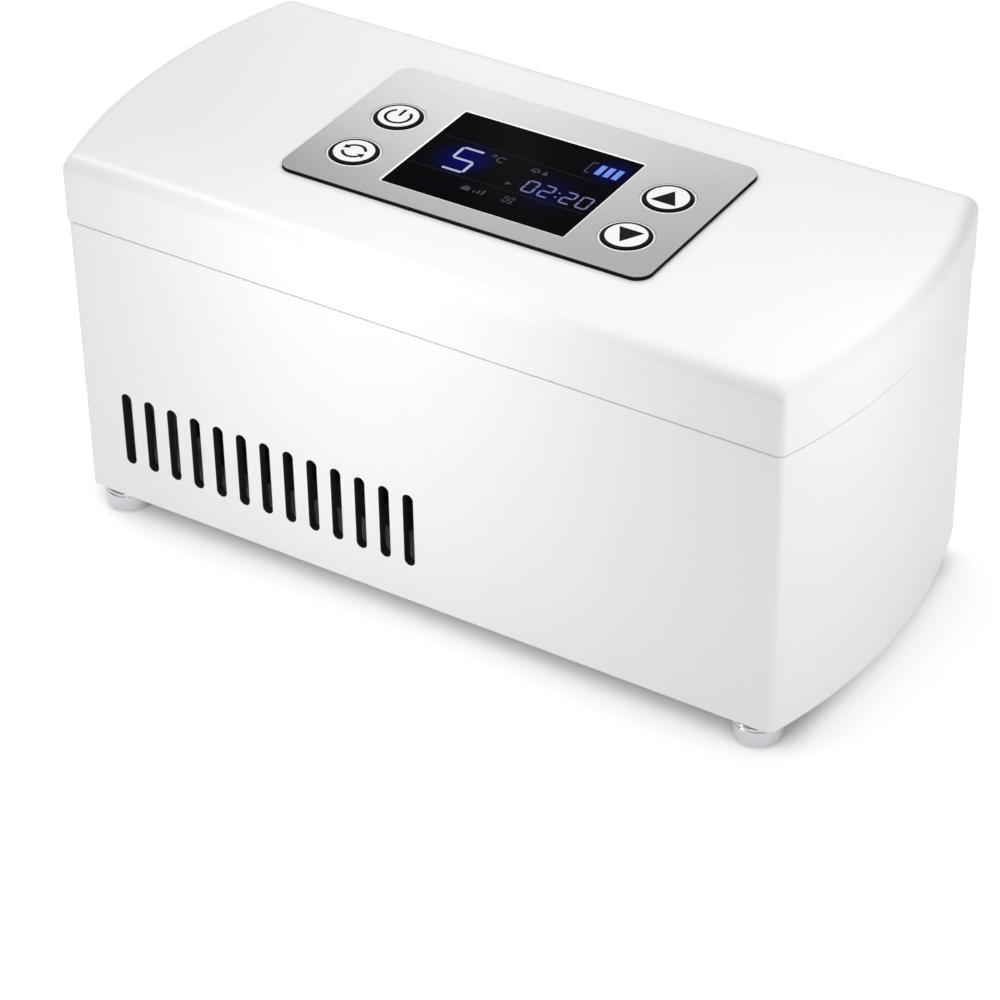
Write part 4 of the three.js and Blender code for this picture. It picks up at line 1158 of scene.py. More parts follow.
@dataclass(frozen=True)
class Feet:
    """The four turned metal feet with their rubber pads."""

    radius: float = 6.3
    high: float = 6.2
    pad_radius: float = 4.6
    pad_height: float = 1.8
    pad_shows: float = 0.6
    groove_depth: float = 0.25
    stud_radius: float = 1.8
    stud_top: float = 17.2

    def build(self) -> None:
        """Makes the feet and the pads."""
        socket, neck = self.pad_radius + 0.1, self.radius - self.groove_depth
        metal = (
            (socket, self.pad_height + GAP, 0.0),
            (socket, self.pad_shows, 0.1),
            (self.radius, self.pad_shows, 0.6),
            (self.radius, self.high - 1.3, 0.12),
            (neck, self.high - 1.15, 0.1),
            (neck, self.high - 0.95, 0.1),
            (self.radius, self.high - 0.8, 0.12),
            (self.radius, self.high, 0.45),
            (self.stud_radius, self.high, 0.0),
            (self.stud_radius, self.stud_top, 0.3),
            (self.stud_radius / 2, self.stud_top, 0.0),
        )
        pad = (
            (self.pad_radius / 2, 0.25, 0.0),
            (self.pad_radius - 1.6, 0.25, 0.1),
            (self.pad_radius - 1.4, 0.0, 0.1),
            (self.pad_radius, 0.0, 0.45),
            (self.pad_radius, self.pad_height, 0.0),
        )
        for name, x, y in corner_names(CASE.foot_x, CASE.foot_y):
            turned = Solid.swept(circle(x, y, 96), eased(metal))
            foot, sole = f"foot_{name}", f"foot_pad_{name}"
            turned.show(f"metal_foot_{name}", Body.CASE, [CHROME], "bright_metal", [foot])
            soft = Solid.swept(circle(x, y), eased(pad))
            soft.show(f"rubber_pad_{name}", Body.CASE, [RUBBER], "foot_rubber", [sole])


@dataclass(frozen=True)
class Screw:
    """A pan-head screw with a cross recess."""

    head_radius: float
    head_height: float
    shank_radius: float
    shank_length: float
    blade: float = 0.55
    recess_share: float = 0.62
    recess_floor: float = 0.3

    def build(self, name: str, body: Body, node: str, place: Place, axis: Axis) -> None:
        """Makes the screw.

        Args:
            name: the piece's name.
            body: the body that it rides on.
            node: the node that it stands for.
            place: the middle of its head's flat underside.
            axis: the way that its head faces.
        """
        corners = (
            (self.shank_radius / 2, -self.shank_length, 0.0),
            (self.shank_radius, -self.shank_length, 0.2),
            (self.shank_radius, 0.0, 0.0),
            (self.head_radius, 0.0, 0.1),
            (self.head_radius, self.head_height, 0.5),
            (self.head_radius / 2, self.head_height, 0.0),
        )
        screw = Solid.swept(circle(0.0, 0.0, 48), eased(corners))
        reach, half = self.head_radius * self.recess_share, self.blade / 2
        low, high = self.head_height * self.recess_floor, self.head_height + PAST
        across = Solid.box(-reach, reach, -half, half, low, high)
        across.join(Solid.box(-half, half, -reach, reach, low, high))
        screw.cut(across).placed(axis, *place).show(name, body, [STEEL], "screw_steel", [node])


@dataclass(frozen=True)
class Chamber:
    """The cold chamber: its tray, the deck round its mouth and the deck's screws."""

    length: float = 172.0
    depth: float = 60.0
    corner: float = 5.0
    tray_wall: float = 1.5
    tray_low: float = 51.4
    tray_high: float = 78.9
    flange: float = 5.0
    flange_thickness: float = 1.2
    deck_low: float = 79.2
    deck_high: float = 82.7
    deck_inset: float = 3.1
    mouth_edge: float = 0.8
    screw: Screw = Screw(2.6, 1.8, 1.3, 9.0)

    def plan(self) -> Plan:
        """The plan of the chamber, by how far it is drawn in."""
        return rounded(0.0, 0.0, self.length, self.depth, self.corner, 12)

    def build(self) -> None:
        """Makes the tray, the deck and the screws."""
        floor, under = self.tray_low + self.tray_wall, self.tray_high - self.flange_thickness
        section = (
            (4.6, self.tray_low, 0.0),
            (-self.tray_wall, self.tray_low, 3.4),
            (-self.tray_wall, under, 0.3),
            (-self.flange, under, 0.2),
            (-self.flange, self.tray_high, 0.3),
            (0.0, self.tray_high, 0.9),
            (0.0, floor, 2.6),
            (4.6, floor, 0.0),
        )
        tray = Solid.swept(self.plan(), eased(section, 5))
        metal = [DRAWN_ALUMINIUM]
        tray.show("cold_chamber_tray", Body.CASE, metal, "chamber_aluminium", ["cold_tray"])
        deck = Solid.plate(CASE.inside(self.deck_inset), self.deck_low, self.deck_high, 0.0, 0.3)
        below, above = self.deck_low - PAST, self.deck_high + PAST
        edge, start = self.mouth_edge, self.deck_high - self.mouth_edge
        mouth = [(0.0, below), (0.0, start)]
        mouth += [(edge * math.cos(t) - edge, start + edge * math.sin(t)) for t in (0.5, 1.0, 1.4)]
        cuts = [Solid.swept(self.plan(), [*mouth, (-edge - 0.1, above)])]
        seats = corner_names(CASE.foot_x, CASE.foot_y)
        for _, x, y in seats:
            low = self.deck_high - self.screw.head_height - 0.1
            cuts.append(Solid.post(x, y, self.screw.head_radius + 0.1, low, above))
        deck.cut(*cuts)
        deck.cut(*HINGE.rooms(lid=False))
        deck.cut(*HINGE.webs_room(lid=False))
        deck.cut(HINGE.lead_room(below, above, CASE.depth))
        deck.show("chamber_deck_plate", Body.CASE, [WHITE_INNER], "white_inner", ["chamber_deck"])
        for name, x, y in seats:
            place, node = (x, y, self.deck_high - self.screw.head_height), f"deck_screw_{name}"
            self.screw.build(f"deck_screw_head_{name}", Body.CASE, node, place, Axis.UP)


@dataclass(frozen=True)
class PowerInlet:
    """The round power socket in the rear wall."""

    width: float = 9.0
    height: float = 10.0
    nose: float = 4.0
    bore: float = 3.1
    bore_depth: float = 9.0
    room_depth: float = 10.5
    pin: float = 1.0

    @staticmethod
    def middle() -> Point:
        """Where its middle is.

        Returns:
            Its place along the rear wall and its height.
        """
        low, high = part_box("power_inlet")
        return (low.x + high.x) / 2 / METRES, (low.z + high.z) / 2 / METRES

    def build(self) -> None:
        """Makes the socket."""
        low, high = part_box("power_inlet")
        x, z = self.middle()
        front, rear, mouth = low.y / METRES, CASE.inner_half_depth() - GAP, high.y / METRES
        half, up, end = self.width / 2, self.height / 2, -self.bore_depth - 1.0
        block = Solid.box(x - half, x + half, front, rear, z - up, z + up)
        nose = (
            (self.pin / 2, -GAP, 0.0),
            (self.pin, -GAP, 0.2),
            (self.pin, -self.bore_depth, 0.0),
            (self.bore, -self.bore_depth, 0.0),
            (self.bore, 0.0, 0.3),
            (self.nose, 0.0, 0.3),
            (self.nose, end, 0.0),
            (self.pin / 2, end, 0.0),
        )
        room = Solid.post(0.0, 0.0, self.nose - 0.1, -self.room_depth, OVERRUN)
        room.placed(Axis.REAR, x, mouth, z)
        barrel = Solid.swept(circle(0.0, 0.0, 48), eased(nose)).placed(Axis.REAR, x, mouth, z)
        socket = Solid.together([block.cut(room), barrel])
        socket.show("power_socket", Body.CASE, [BLACK_PLASTIC], "black_plastic", ["power_inlet"])


# ---- The lid


@dataclass(frozen=True)
class KeyPlace:
    """Where a key sits, and the body that it is."""

    name: str
    body: Body
    x: float
    y: float


KEY_PLACES = (
    KeyPlace("power", Body.POWER, -37.1, 7.1),
    KeyPlace("mode", Body.MODE, -37.1, -12.0),
    KeyPlace("up", Body.UP, 37.1, 7.1),
    KeyPlace("down", Body.DOWN, 37.1, -12.0),
)


@dataclass(frozen=True)
class PanelForm:
    """The sizes that the control panel and the lid share."""

    length: float = 99.6
    depth: float = 55.8
    y: float = 1.6
    corner: float = 4.0
    low: float = 101.3
    high: float = 102.4
    recess: float = 101.2
    key_hole: float = 6.15
    collar: float = 6.65
    display_y: float = -0.8
    display_length: float = 49.6
    display_depth: float = 37.3
    lens_high: float = 102.3


PANEL = PanelForm()

GLASS = DarkGlass(
    "display_black_glass",
    (0.0003, 0.0003, 0.0005),
    0.12,
    (0.0, 0.0, 0.12),
    # The colour and the places of the glow painted onto the glass round the lit segments.
    (
        Glow((-13.2, -1.6, PANEL.lens_high), 9.0, 0.8),
        Glow((12.0, -4.8, PANEL.lens_high), 9.0, 0.25),
        Glow((20.0, 10.5, PANEL.lens_high), 7.0, 0.6),
    ),
)


@dataclass(frozen=True)
class LidCover:
    """The lid's cover: its shell, the panel's recess and the collars of the keys."""

    lip: float = 0.2
    ceiling_edge: float = 0.8
    collar_edge: float = 0.12
    collar_foot: float = 0.5
    lead_room: float = 9.0

    def build(self) -> None:
        """Makes the cover."""
        ceiling = CASE.top - CASE.wall
        edge = CASE.lid_edge
        section = eased(
            (
                (edge + 2.0, ceiling, 0.0),
                (CASE.wall, ceiling, self.ceiling_edge),
                (CASE.wall, CASE.lid_bottom, 0.0),
                (0.0, CASE.lid_bottom, self.lip),
                (0.0, CASE.top, edge),
                (edge + 1.2, CASE.top, 0.0),
            ),
            12,
        )
        cover = Solid.swept(CASE.plan, section)
        recess = Solid.swept(
            rounded(0.0, PANEL.y, PANEL.length + 0.2, PANEL.depth + 0.2, PANEL.corner + 0.1),
            [(0.0, PANEL.recess), (0.0, CASE.top + PAST)],
        )
        cover.cut(recess)
        foot = ceiling + self.collar_foot
        ring = (
            (PANEL.key_hole, foot, 0.0),
            (PANEL.key_hole, PANEL.high, self.collar_edge),
            (PANEL.collar, PANEL.high, self.collar_edge),
            (PANEL.collar, foot, 0.0),
        )
        plans = [circle(key.x, key.y) for key in KEY_PLACES]
        cover.join(*(Solid.swept(plan, eased(ring), closed=True) for plan in plans))
        reach = [(PANEL.key_hole, ceiling - PAST), (PANEL.key_hole, PANEL.high + PAST)]
        cover.cut(*(Solid.swept(plan, reach) for plan in plans))
        cover.cut(HINGE.groove(1.0))
        leads = HINGE.lead_room(CASE.lid_bottom - PAST, CASE.lid_bottom + self.lead_room)
        cover.cut(*HINGE.rooms(lid=True), leads)
        cover.join(*HINGE.knuckles(True, CASE.depth / 2 - CASE.wall))
        cover.cut(*HINGE.bores())
        cover.show("lid_shell", Body.LID, [WHITE_CASE], "white_case", ["lid_cover"])


@dataclass(frozen=True)
class LidLiner:
    """The liner under the lid: its plate with the chamber's plug, the gasket and the screws."""

    low: float = 84.3
    high: float = 86.3
    inset: float = 2.7
    edge: float = 0.3
    plug_gap: float = 1.0
    plug_depth: float = 3.0
    plug_edge: float = 1.2
    seat_depth: float = 0.6
    gasket_inner: float = 2.4
    gasket_outer: float = 5.8
    gasket_low: float = 83.0
    gasket_high: float = 84.8
    screw_x: float = 82.0
    screw_y: float = 39.5
    screw: Screw = Screw(2.1, 1.3, 1.0, 6.5, blade=0.45)

    def build(self, chamber: Chamber) -> None:
        """Makes the liner, the gasket and the screws.

        Args:
            chamber: the chamber that the plug closes.
        """
        plate = Solid.plate(CASE.inside(self.inset), self.low, self.high, self.edge)
        below, above = self.low - PAST, self.high + PAST
        plan, foot, head = chamber.plan(), self.low - self.plug_depth, self.low + 0.5
        plug = Solid.plate(lambda inset: plan(self.plug_gap + inset), foot, head, self.plug_edge)
        plate.join(plug)
        outer, inner = -self.gasket_outer - 0.1, -self.gasket_inner + 0.1
        start, end = self.low - self.seat_depth, self.low + self.seat_depth
        seat = ((outer, start), (outer, end), (inner, end), (inner, start))
        plate.cut(Solid.swept(plan, seat, closed=True))
        plate.cut(Solid.box(-CASE.length, CASE.length, HINGE.y, CASE.depth, below, above))
        plate.cut(*HINGE.rooms(lid=True))
        plate.cut(*HINGE.webs_room(lid=True))
        cuts = [HINGE.lead_room(below, above, CASE.depth)]
        seats = corner_names(self.screw_x, self.screw_y)
        radius, head = self.screw.head_radius + 0.1, self.low + self.screw.head_height
        cuts += [Solid.post(x, y, radius, below, head) for _, x, y in seats]
        plate.cut(*cuts)
        plate.show("lid_inner_plate", Body.LID, [WHITE_INNER], "white_inner", ["lid_liner"])
        lips = (
            (-self.gasket_outer, self.gasket_high, 0.0),
            (-self.gasket_outer, self.gasket_low, 0.4),
            (-self.gasket_outer + 1.2, self.gasket_low, 0.4),
            (-self.gasket_outer + 1.7, self.gasket_low + 0.5, 0.3),
            (-self.gasket_inner - 1.2, self.gasket_low, 0.4),
            (-self.gasket_inner, self.gasket_low, 0.4),
            (-self.gasket_inner, self.gasket_high, 0.0),
        )
        gasket = Solid.swept(plan, eased(lips), closed=True)
        gasket.show("chamber_seal", Body.LID, [SILICONE], "gasket_silicone", ["lid_gasket"])
        for name, x, y in seats:
            place, node = (x, y, head - 0.1), f"lid_screw_{name}"
            self.screw.build(f"lid_screw_head_{name}", Body.LID, node, place, Axis.DOWN)


class Artwork:
    """Flat marks, inlaid between two heights."""

    def __init__(self, low: float, high: float) -> None:
        """Sets the heights that the marks lie between.

        Args:
            low: their underside.
            high: their top.
        """
        self.low = low
        self.high = high
        self.marks: list[Solid] = []

    def patch(self, points: Sequence[Point]) -> None:
        """Adds a filled outline."""
        self.marks.append(Solid.swept(polygon(points), [(0.0, self.low), (0.0, self.high)]))

    def stroke(self, start: Point, end: Point, width: float, pointed: bool = False) -> None:
        """Adds a straight line.

        Args:
            start: its first end.
            end: its second end.
            width: its width.
            pointed: True where its ends come to a point, as those of a display segment.
        """
        a, b = Vector(start), Vector(end)
        along = (b - a).normalized()
        side = Vector((-along.y, along.x)) * (width / 2)
        if not pointed:
            self.patch([tuple(a + side), tuple(a - side), tuple(b - side), tuple(b + side)])
            return
        near, far = a + along * (width / 2), b - along * (width / 2)
        points = (a, near - side, far - side, b, far + side, near + side)
        self.patch([tuple(point) for point in points])

    def ring(
        self,
        x: float,
        y: float,
        inner: float,
        outer: float,
        start: float = 0.0,
        end: float = 360.0,
    ) -> None:
        """Adds a ring or a part of one.

        Args:
            x: its middle along X.
            y: its middle along Y.
            inner: its inner radius.
            outer: its outer radius.
            start: the angle in degrees where it starts.
            end: the angle in degrees where it ends.
        """
        if end - start >= 360.0:
            section = [(inner, self.low), (inner, self.high), (outer, self.high), (outer, self.low)]
            self.marks.append(Solid.swept(circle(x, y), section, closed=True))
            return
        first, last = math.radians(start), math.radians(end)
        steps = max(6, round(abs(end - start) / 6))
        self.patch(arc(x, y, outer, first, last, steps) + arc(x, y, inner, last, first, steps))

    def show(self, name: str, body: Body, finish: Finish, slot: str) -> None:
        """Makes the marks one visible piece."""
        Solid.together(self.marks).show(name, body, [finish], slot)


@dataclass(frozen=True)
class Keys:
    """The four keys with their printed rings and signs."""

    radius: float = 5.9
    edge: float = 0.3
    flange: float = 7.0
    low: float = 97.5
    flange_high: float = 98.7
    high: float = 102.73
    ring_inner: float = 5.0
    ring_depth: float = 1.2
    line: float = 0.75
    power_radius: float = 2.75
    turn_radius: float = 2.35
    head_half: float = 1.05
    head_length: float = 1.5
    arrow_half: float = 3.3
    arrow_foot: float = 2.6
    arrow_tip: float = 3.2

    def sign(self, key: KeyPlace, art: Artwork) -> None:
        """Draws the sign of one key.

        Args:
            key: the key.
            art: where the sign's marks go.
        """
        x, y, half = key.x, key.y, self.arrow_half
        match key.name:
            case "power":
                inner = self.power_radius
                art.ring(x, y - 0.1, inner, inner + self.line, 128.0, 412.0)
                art.stroke((x, y + 0.2), (x, y + 3.5), self.line)
            case "mode":
                inner = self.turn_radius
                art.ring(x, y, inner, inner + self.line, 20.0, 150.0)
                art.ring(x, y, inner, inner + self.line, 200.0, 330.0)
                for turn in (150.0, 330.0):
                    self.arrow_head(art, x, y, math.radians(turn))
            case "up":
                foot, tip = y - self.arrow_foot, y + self.arrow_tip
                art.patch([(x - half, foot), (x + half, foot), (x, tip)])
            case "down":
                foot, tip = y + self.arrow_foot, y - self.arrow_tip
                art.patch([(x - half, foot), (x, tip), (x + half, foot)])

    def arrow_head(self, art: Artwork, x: float, y: float, turn: float) -> None:
        """Draws the head of one of the arrows that run round the mode key.

        Args:
            art: where its mark goes.
            x: the key's middle along X.
            y: the key's middle along Y.
            turn: the angle of the head about that middle.
        """
        out = Vector((math.cos(turn), math.sin(turn)))
        onward = Vector((-out.y, out.x))
        at = Vector((x, y)) + out * (self.turn_radius + self.line / 2)
        near, far = at - out * self.head_half, at + out * self.head_half
        art.patch([tuple(near), tuple(far), tuple(at + onward * self.head_length)])

    def build(self) -> None:
        """Makes the keys."""
        for key in KEY_PLACES:
            corners = (
                (self.radius / 2, self.low, 0.0),
                (self.flange, self.low, 0.1),
                (self.flange, self.flange_high, 0.1),
                (self.radius, self.flange_high, 0.0),
                (self.radius, self.high - self.ring_depth, 0.0),
                (self.radius, self.high, self.edge),
                (self.ring_inner, self.high, 0.0),
                (self.radius / 2, self.high, 0.0),
            )
            middle = Vector((key.x, key.y))

            def choose(place: Vector, normal: Vector) -> int:
                """Black round the rim, white elsewhere."""
                outside = (place.xy - middle).length > self.ring_inner - HAIR
                return int(outside and place.z > self.high - self.ring_depth)

            cap = Solid.swept(circle(key.x, key.y, 96), eased(corners))
            finishes, nodes = [KEY_WHITE, INK], [f"{key.name}_button"]
            cap.show(f"{key.name}_key_cap", key.body, finishes, "key_white", nodes, choose)
            art = Artwork(self.high - HAIR, self.high + HAIR)
            self.sign(key, art)
            art.show(f"{key.name}_key_print", key.body, INK, "black_plastic")


@dataclass(frozen=True)
class ControlPanel:
    """The silver panel plate and the display window."""

    edge: float = 0.12
    rim: float = 0.45
    rim_depth: float = 0.14
    bevel: Point = (0.2, 0.995)
    upright: float = 0.6

    def build(self) -> None:
        """Makes the plate and the window glass."""
        outline = rounded(0.0, PANEL.y, PANEL.length, PANEL.depth, PANEL.corner, 12)
        plate = Solid.plate(outline, PANEL.low, PANEL.high, 0.0, self.edge)
        window = rounded(0.0, PANEL.display_y, PANEL.display_length, PANEL.display_depth, 0.4)
        below, above = PANEL.low - PAST, PANEL.high + PAST
        opening = [(0.0, below), (0.0, PANEL.high - self.rim_depth)]
        opening += [(-self.rim, PANEL.high + HAIR), (-self.rim, above)]
        radius = PANEL.collar + 0.1
        holes = [Solid.post(key.x, key.y, radius, below, above, 72) for key in KEY_PLACES]
        plate.cut(Solid.swept(window, opening), *holes)
        half_length, half_depth = PANEL.display_length / 2 + 1.0, PANEL.display_depth / 2 + 1.0

        def choose(middle: Vector, normal: Vector) -> int:
            """Picks bright for the window's bevel, near-black for the upright sides, their dark
            colour with painted shade, silver elsewhere.

            Args:
                middle: the middle of a face.
                normal: its normal.

            Returns:
                The number of its finish.
            """
            by_window = abs(middle.x) < half_length and abs(middle.y - PANEL.display_y) < half_depth
            if by_window and self.bevel[0] < normal.z < self.bevel[1]:
                return 1
            return 2 if abs(normal.z) < self.upright else 0

        finishes = [SILVER, CUT_EDGE, DARK_EDGE_AND_SHADE]
        plate.show("panel_plate", Body.LID, finishes, "silver_panel", ["control_panel"], choose)
        length, depth = PANEL.display_length - 0.2, PANEL.display_depth - 0.2
        pane = rounded(0.0, PANEL.display_y, length, depth, 0.3)
        lens = Solid.plate(pane, PANEL.low, PANEL.lens_high, 0.0, 0.1)
        lens.show("display_window", Body.LID, [GLASS], "display_glass", ["display_lens"])


@dataclass(frozen=True)
class Display:
    """What the display shows, in shares of the window from its left and from its front."""

    line: float = 0.75
    clock_line: float = 0.5
    digit_pitch: float = 4.35
    colon_room: float = 1.5
    bar_pitch: float = 2.3
    bar_width: float = 1.45
    thin: float = 0.35
    rule: float = 0.28
    segment_gap: float = 0.08

    def at(self, across: float, back: float) -> Point:
        """The place of two shares of the window."""
        y = (back - 0.5) * PANEL.display_depth + PANEL.display_y
        return (across - 0.5) * PANEL.display_length, y

    def art(self) -> Artwork:
        """An empty sheet of marks on the window."""
        return Artwork(PANEL.lens_high - HAIR, PANEL.lens_high + HAIR)

    def digit(
        self,
        art: Artwork,
        segments: str,
        x: float,
        y: float,
        width: float,
        height: float,
        line: float,
    ) -> None:
        """Draws a digit of seven segments.

        Args:
            art: where its marks go.
            segments: the letters a to g of its lit segments.
            x: its left side.
            y: its foot.
            width: its width between the middles of its uprights.
            height: its height between the middles of its bars.
            line: the width of a segment.
        """
        left, right, low, middle, high = x, x + width, y, y + height / 2, y + height
        ends = {
            "a": ((left, high), (right, high)),
            "b": ((right, high), (right, middle)),
            "c": ((right, middle), (right, low)),
            "d": ((right, low), (left, low)),
            "e": ((left, low), (left, middle)),
            "f": ((left, middle), (left, high)),
            "g": ((left, middle), (right, middle)),
        }
        for letter in segments:
            start, end = (Vector(p) for p in ends[letter])
            step = (end - start).normalized() * self.segment_gap
            art.stroke(tuple(start + step), tuple(end - step), line, pointed=True)

    def temperature(self) -> None:
        """Draws the temperature."""
        big = self.art()
        x, y = self.at(0.178, 0.335)
        self.digit(big, "afgcd", x, y, 5.7, 10.2, self.line)
        big.show("display_temperature", Body.LID, LIT_DIGIT, "display_glass")
        unit = self.art()
        x, y = self.at(0.395, 0.59)
        unit.ring(x, y, 0.85, 1.3, 50.0, 310.0)
        x, y = self.at(0.347, 0.615)
        unit.ring(x, y, 0.3, 0.6)
        unit.show("display_unit", Body.LID, DIM_MARK, "display_glass")

    def clock(self) -> None:
        """Draws the time."""
        digits = self.art()
        x, y = self.at(0.612, 0.34)
        for i, segments in enumerate(("abcdef", "abged", "abged", "abcdef")):
            start = x + i * self.digit_pitch + (self.colon_room if i > 1 else 0.0)
            self.digit(digits, segments, start, y, 2.75, 4.9, self.clock_line)
        colon_x = x + 8.65
        for up in (1.4, 3.4):
            start, end = (colon_x - 0.28, y + up), (colon_x + 0.28, y + up)
            digits.stroke(start, end, self.clock_line)
        digits.show("display_clock", Body.LID, LIT_CLOCK, "display_glass")

    def battery(self) -> None:
        """Draws the battery sign."""
        x, y = self.at(0.845, 0.80)
        bars = self.art()
        for i in range(3):
            bar_x = x + i * self.bar_pitch
            bars.stroke((bar_x, y - 2.2), (bar_x, y + 2.2), self.bar_width)
        bars.show("display_bars", Body.LID, LIT_BAR, "display_glass")
        outline = self.art()
        low, high = (x - 3.2, y - 2.4), (x - 3.2, y + 2.4)
        outline.stroke(low, high, self.thin)
        outline.stroke(high, (x - 1.9, y + 2.4), self.thin)
        outline.stroke(low, (x - 1.9, y - 2.4), self.thin)
        outline.show("display_battery_end", Body.LID, DIM_MARK, "display_glass")

    def signs(self) -> None:
        """Draws the small signs: a bell, a drop, an arrow, a case with bars, and a fan."""
        marks = self.art()
        x, y = self.at(0.585, 0.585)
        marks.ring(x, y, 0.75, 1.1, 0.0, 180.0)
        marks.stroke((x - 1.3, y - 0.2), (x + 1.3, y - 0.2), self.thin)
        marks.stroke((x - 0.3, y - 0.7), (x + 0.3, y - 0.7), self.thin)
        drop = ((2.6, 1.1), (1.9, -0.1), (2.2, -0.7), (3.0, -0.7), (3.3, -0.1))
        marks.patch([(x + across, y + up) for across, up in drop])
        x, y = self.at(0.535, 0.37)
        marks.patch([(x - 0.7, y - 0.7), (x + 0.8, y), (x - 0.7, y + 0.7)])
        x, y = self.at(0.385, 0.2)
        marks.stroke((x - 1.1, y - 0.6), (x + 1.1, y - 0.6), 1.3)
        marks.ring(x, y, 0.45, 0.75, 0.0, 180.0)
        for i in range(3):
            bar_x = x + 2.4 + i * 1.1
            marks.stroke((bar_x, y - 1.2), (bar_x, y - 0.4 + i * 0.6), 0.5)
        x, y = self.at(0.612, 0.2)
        marks.ring(x, y, 0.12, 0.4)
        for i in range(4):
            turn = math.radians(90 * i + 45)
            cx, cy = x + 1.05 * math.cos(turn), y + 1.05 * math.sin(turn)
            marks.ring(cx, cy, 0.3, 0.62, 90 * i - 60, 90 * i + 200)
        marks.show("display_signs", Body.LID, DIM_MARK, "display_glass")

    def rules(self) -> None:
        """Draws the two thin lines across the window."""
        lines = self.art()
        lines.stroke(self.at(0.03, 0.685), self.at(0.84, 0.66), self.rule)
        lines.stroke(self.at(0.02, 0.295), self.at(0.97, 0.29), self.rule)
        lines.show("display_rules", Body.LID, FAINT_LINE, "display_glass")

    def build(self) -> None:
        """Makes all that the display shows."""
        self.temperature()
        self.clock()
        self.battery()
        self.signs()
        self.rules()


# ---- The parts inside, and the studio


@dataclass(frozen=True)
class InnerParts:
    """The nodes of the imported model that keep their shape, with the finishes they get.

    A node gets the first finish whose key its name holds.
    """

    finishes: tuple[tuple[str, Finish], ...] = (
        ("peltier_lead_red", LEAD_RED),
        ("battery_lead", LEAD_RED),
        ("peltier_lead_black", LEAD_BLACK),
        ("fan_lead", LEAD_BLACK),
        ("_lead", LEAD_GREY),
        ("foam_block", FOAM),
        ("lid_foam", FOAM),
        ("cold_block", DRAWN_ALUMINIUM),
        ("heat_sink", BLACK_ANODISED),
        ("peltier_module", CERAMIC),
        ("fan_", BLACK_PLASTIC),
        ("temperature_probe", STEEL),
        ("battery_holder", BLACK_PLASTIC),
        ("battery_cell", WRAP),
        ("main_board", BOARD),
        ("display_board", BOARD),
        ("lcd_module", BLACK_PLASTIC),
        ("magnet", STEEL),
    )

    def build(self) -> None:
        """Gives each node that shows its finish."""
        for name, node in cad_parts.items():
            if node.hide_render:
                continue
            material = next(finish for key, finish in self.finishes if key in name).material()
            for slot in node.material_slots:
                slot.material = material
            log.info("%s: dressed in %s", name, material.name)


@dataclass(frozen=True)
class SoftBox:
    """A large soft light."""

    name: str
    place: Place
    aim: Place
    width: float
    height: float
    power: float

    def build(self) -> None:
        """Makes the light."""
        data = bpy.data.lights.new(self.name, "AREA")
        data.shape = "RECTANGLE"
        data.size, data.size_y = self.width, self.height
        data.energy = self.power
        lamp = bpy.data.objects.new(self.name, data)
        lamp.location = self.place
        lamp.visible_camera = False
        lamp.rotation_mode = "QUATERNION"
        lamp.rotation_quaternion = (Vector(self.aim) - Vector(self.place)).to_track_quat("-Z", "Y")
        bpy.context.scene.collection.objects.link(lamp)


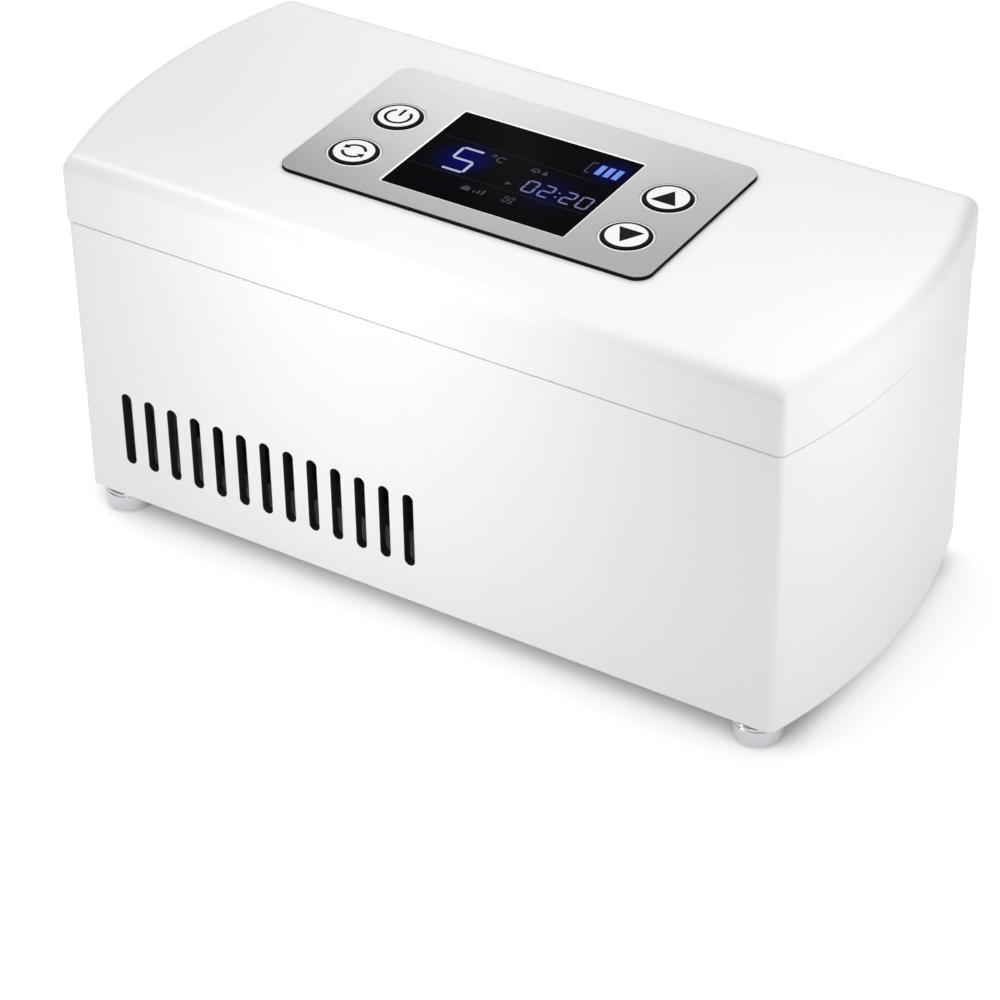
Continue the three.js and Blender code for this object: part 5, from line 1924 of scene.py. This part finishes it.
@dataclass(frozen=True)
class Studio:
    """The camera, the floor and the lights."""

    camera_place: Place = (0.380008, -0.606038, 0.523309)
    camera_turn: tuple[float, float, float, float] = (0.8566764, 0.4364453, 0.1310149, 0.241777)
    lens: float = 127.5507
    sensor: float = 36.0
    clip: Point = (0.02, 30.0)
    floor_size: float = 8.0
    floor_colour: Colour = (0.85, 0.85, 0.85)
    floor_roughness: float = 0.9
    floor_glow: float = 0.3
    # Distances from the middle along X and along Y over which the glow comes back round the case;
    # within them the floor has a painted contact shadow.
    painted_shadow_x: Point = (94.5, 103.0)
    painted_shadow_y: Point = (37.0, 47.0)
    sky: float = 0.2
    boxes: tuple[SoftBox, ...] = (
        SoftBox("high_box", (0.0, 0.1, 1.6), (0.0, 0.0, 0.05), 2.2, 2.0, 12.2),
        SoftBox("left_box", (-0.6, 0.1, 0.7), (0.0, 0.0, 0.1), 0.4, 0.8, 2.36),
        SoftBox("rear_box", (0.0, 0.35, 0.4), (0.0, 0.0, 0.1), 0.5, 0.2, 0.516),
        SoftBox("panel_box", (-0.2, 0.26, 0.26), (-0.04, 0.02, 0.1), 0.08, 0.08, 0.0305),
        SoftBox("front_strip_left", (-0.04, -0.18, 0.12), (-0.04, 0.0, 0.05), 0.03, 0.28, 0.075),
        SoftBox("front_strip_near", (-0.01, -0.125, 0.12), (-0.01, 0.0, 0.06), 0.03, 0.16, 0.034),
        SoftBox("front_strip_right", (0.02, -0.14, 0.14), (0.02, 0.0, 0.06), 0.03, 0.2, 0.0068),
        SoftBox("end_strip_front", (0.21, -0.07, 0.13), (0.1, -0.02, 0.06), 0.03, 0.2, 0.0598),
        SoftBox("end_strip_near", (0.18, -0.03, 0.13), (0.1, -0.02, 0.06), 0.02, 0.2, 0.0313),
    )

    def camera(self) -> None:
        """Makes the camera."""
        data = bpy.data.cameras.new("camera")
        data.lens, data.sensor_width, data.sensor_fit = self.lens, self.sensor, "HORIZONTAL"
        data.clip_start, data.clip_end = self.clip
        camera = bpy.data.objects.new("camera", data)
        camera.location = self.camera_place
        camera.rotation_mode = "QUATERNION"
        camera.rotation_quaternion = Quaternion(self.camera_turn)
        bpy.context.scene.collection.objects.link(camera)
        bpy.context.scene.camera = camera

    def floor(self) -> None:
        """Makes the floor, which glows a little except under the case, where a contact shadow is
        painted by leaving the glow out.
        """
        half = self.floor_size / 2
        corners = [(-half, -half, 0), (half, -half, 0), (half, half, 0), (-half, half, 0)]
        mesh = bpy.data.meshes.new("floor")
        mesh.from_pydata(corners, [], [(0, 1, 2, 3)])
        colour, roughness = self.floor_colour, self.floor_roughness
        shader = Shader("pale_floor", Base_Color=colour, Roughness=roughness)
        shader.feed("Specular IOR Level", 0.0)
        # Painted contact shadow: the glow is left out under the case.
        x, y = shader.from_middle()
        under = (1 - x.rising(*self.painted_shadow_x)) * (1 - y.rising(*self.painted_shadow_y))
        shader.feed("Emission Color", shader.mixed(under, WHITE, BLACK))
        shader.feed("Emission Strength", self.floor_glow)
        mesh.materials.append(shader.material)
        floor = bpy.data.objects.new("floor", mesh)
        bpy.context.scene.collection.objects.link(floor)

    def light(self) -> None:
        """Makes the sky and the soft boxes."""
        world = bpy.data.worlds.new("studio")
        world.use_nodes = True
        background = world.node_tree.nodes["Background"]
        background.inputs["Color"].default_value = (*WHITE, 1.0)
        background.inputs["Strength"].default_value = self.sky
        bpy.context.scene.world = world
        for box in self.boxes:
            box.build()

    def build(self) -> None:
        """Makes the studio."""
        bpy.context.scene.view_settings.view_transform = "Standard"
        self.camera()
        self.floor()
        self.light()


def main() -> None:
    """Builds every part of the scene in order."""
    logging.basicConfig(level=logging.INFO, format="%(name)s %(message)s", stream=sys.stdout)
    chamber = Chamber()
    Studio().build()
    BodyShell().build()
    BasePlate().build()
    Feet().build()
    HINGE.build()
    chamber.build()
    PowerInlet().build()
    LidCover().build()
    LidLiner().build(chamber)
    ControlPanel().build()
    Keys().build()
    Display().build()
    InnerParts().build()


if __name__ == "__main__":
    main()
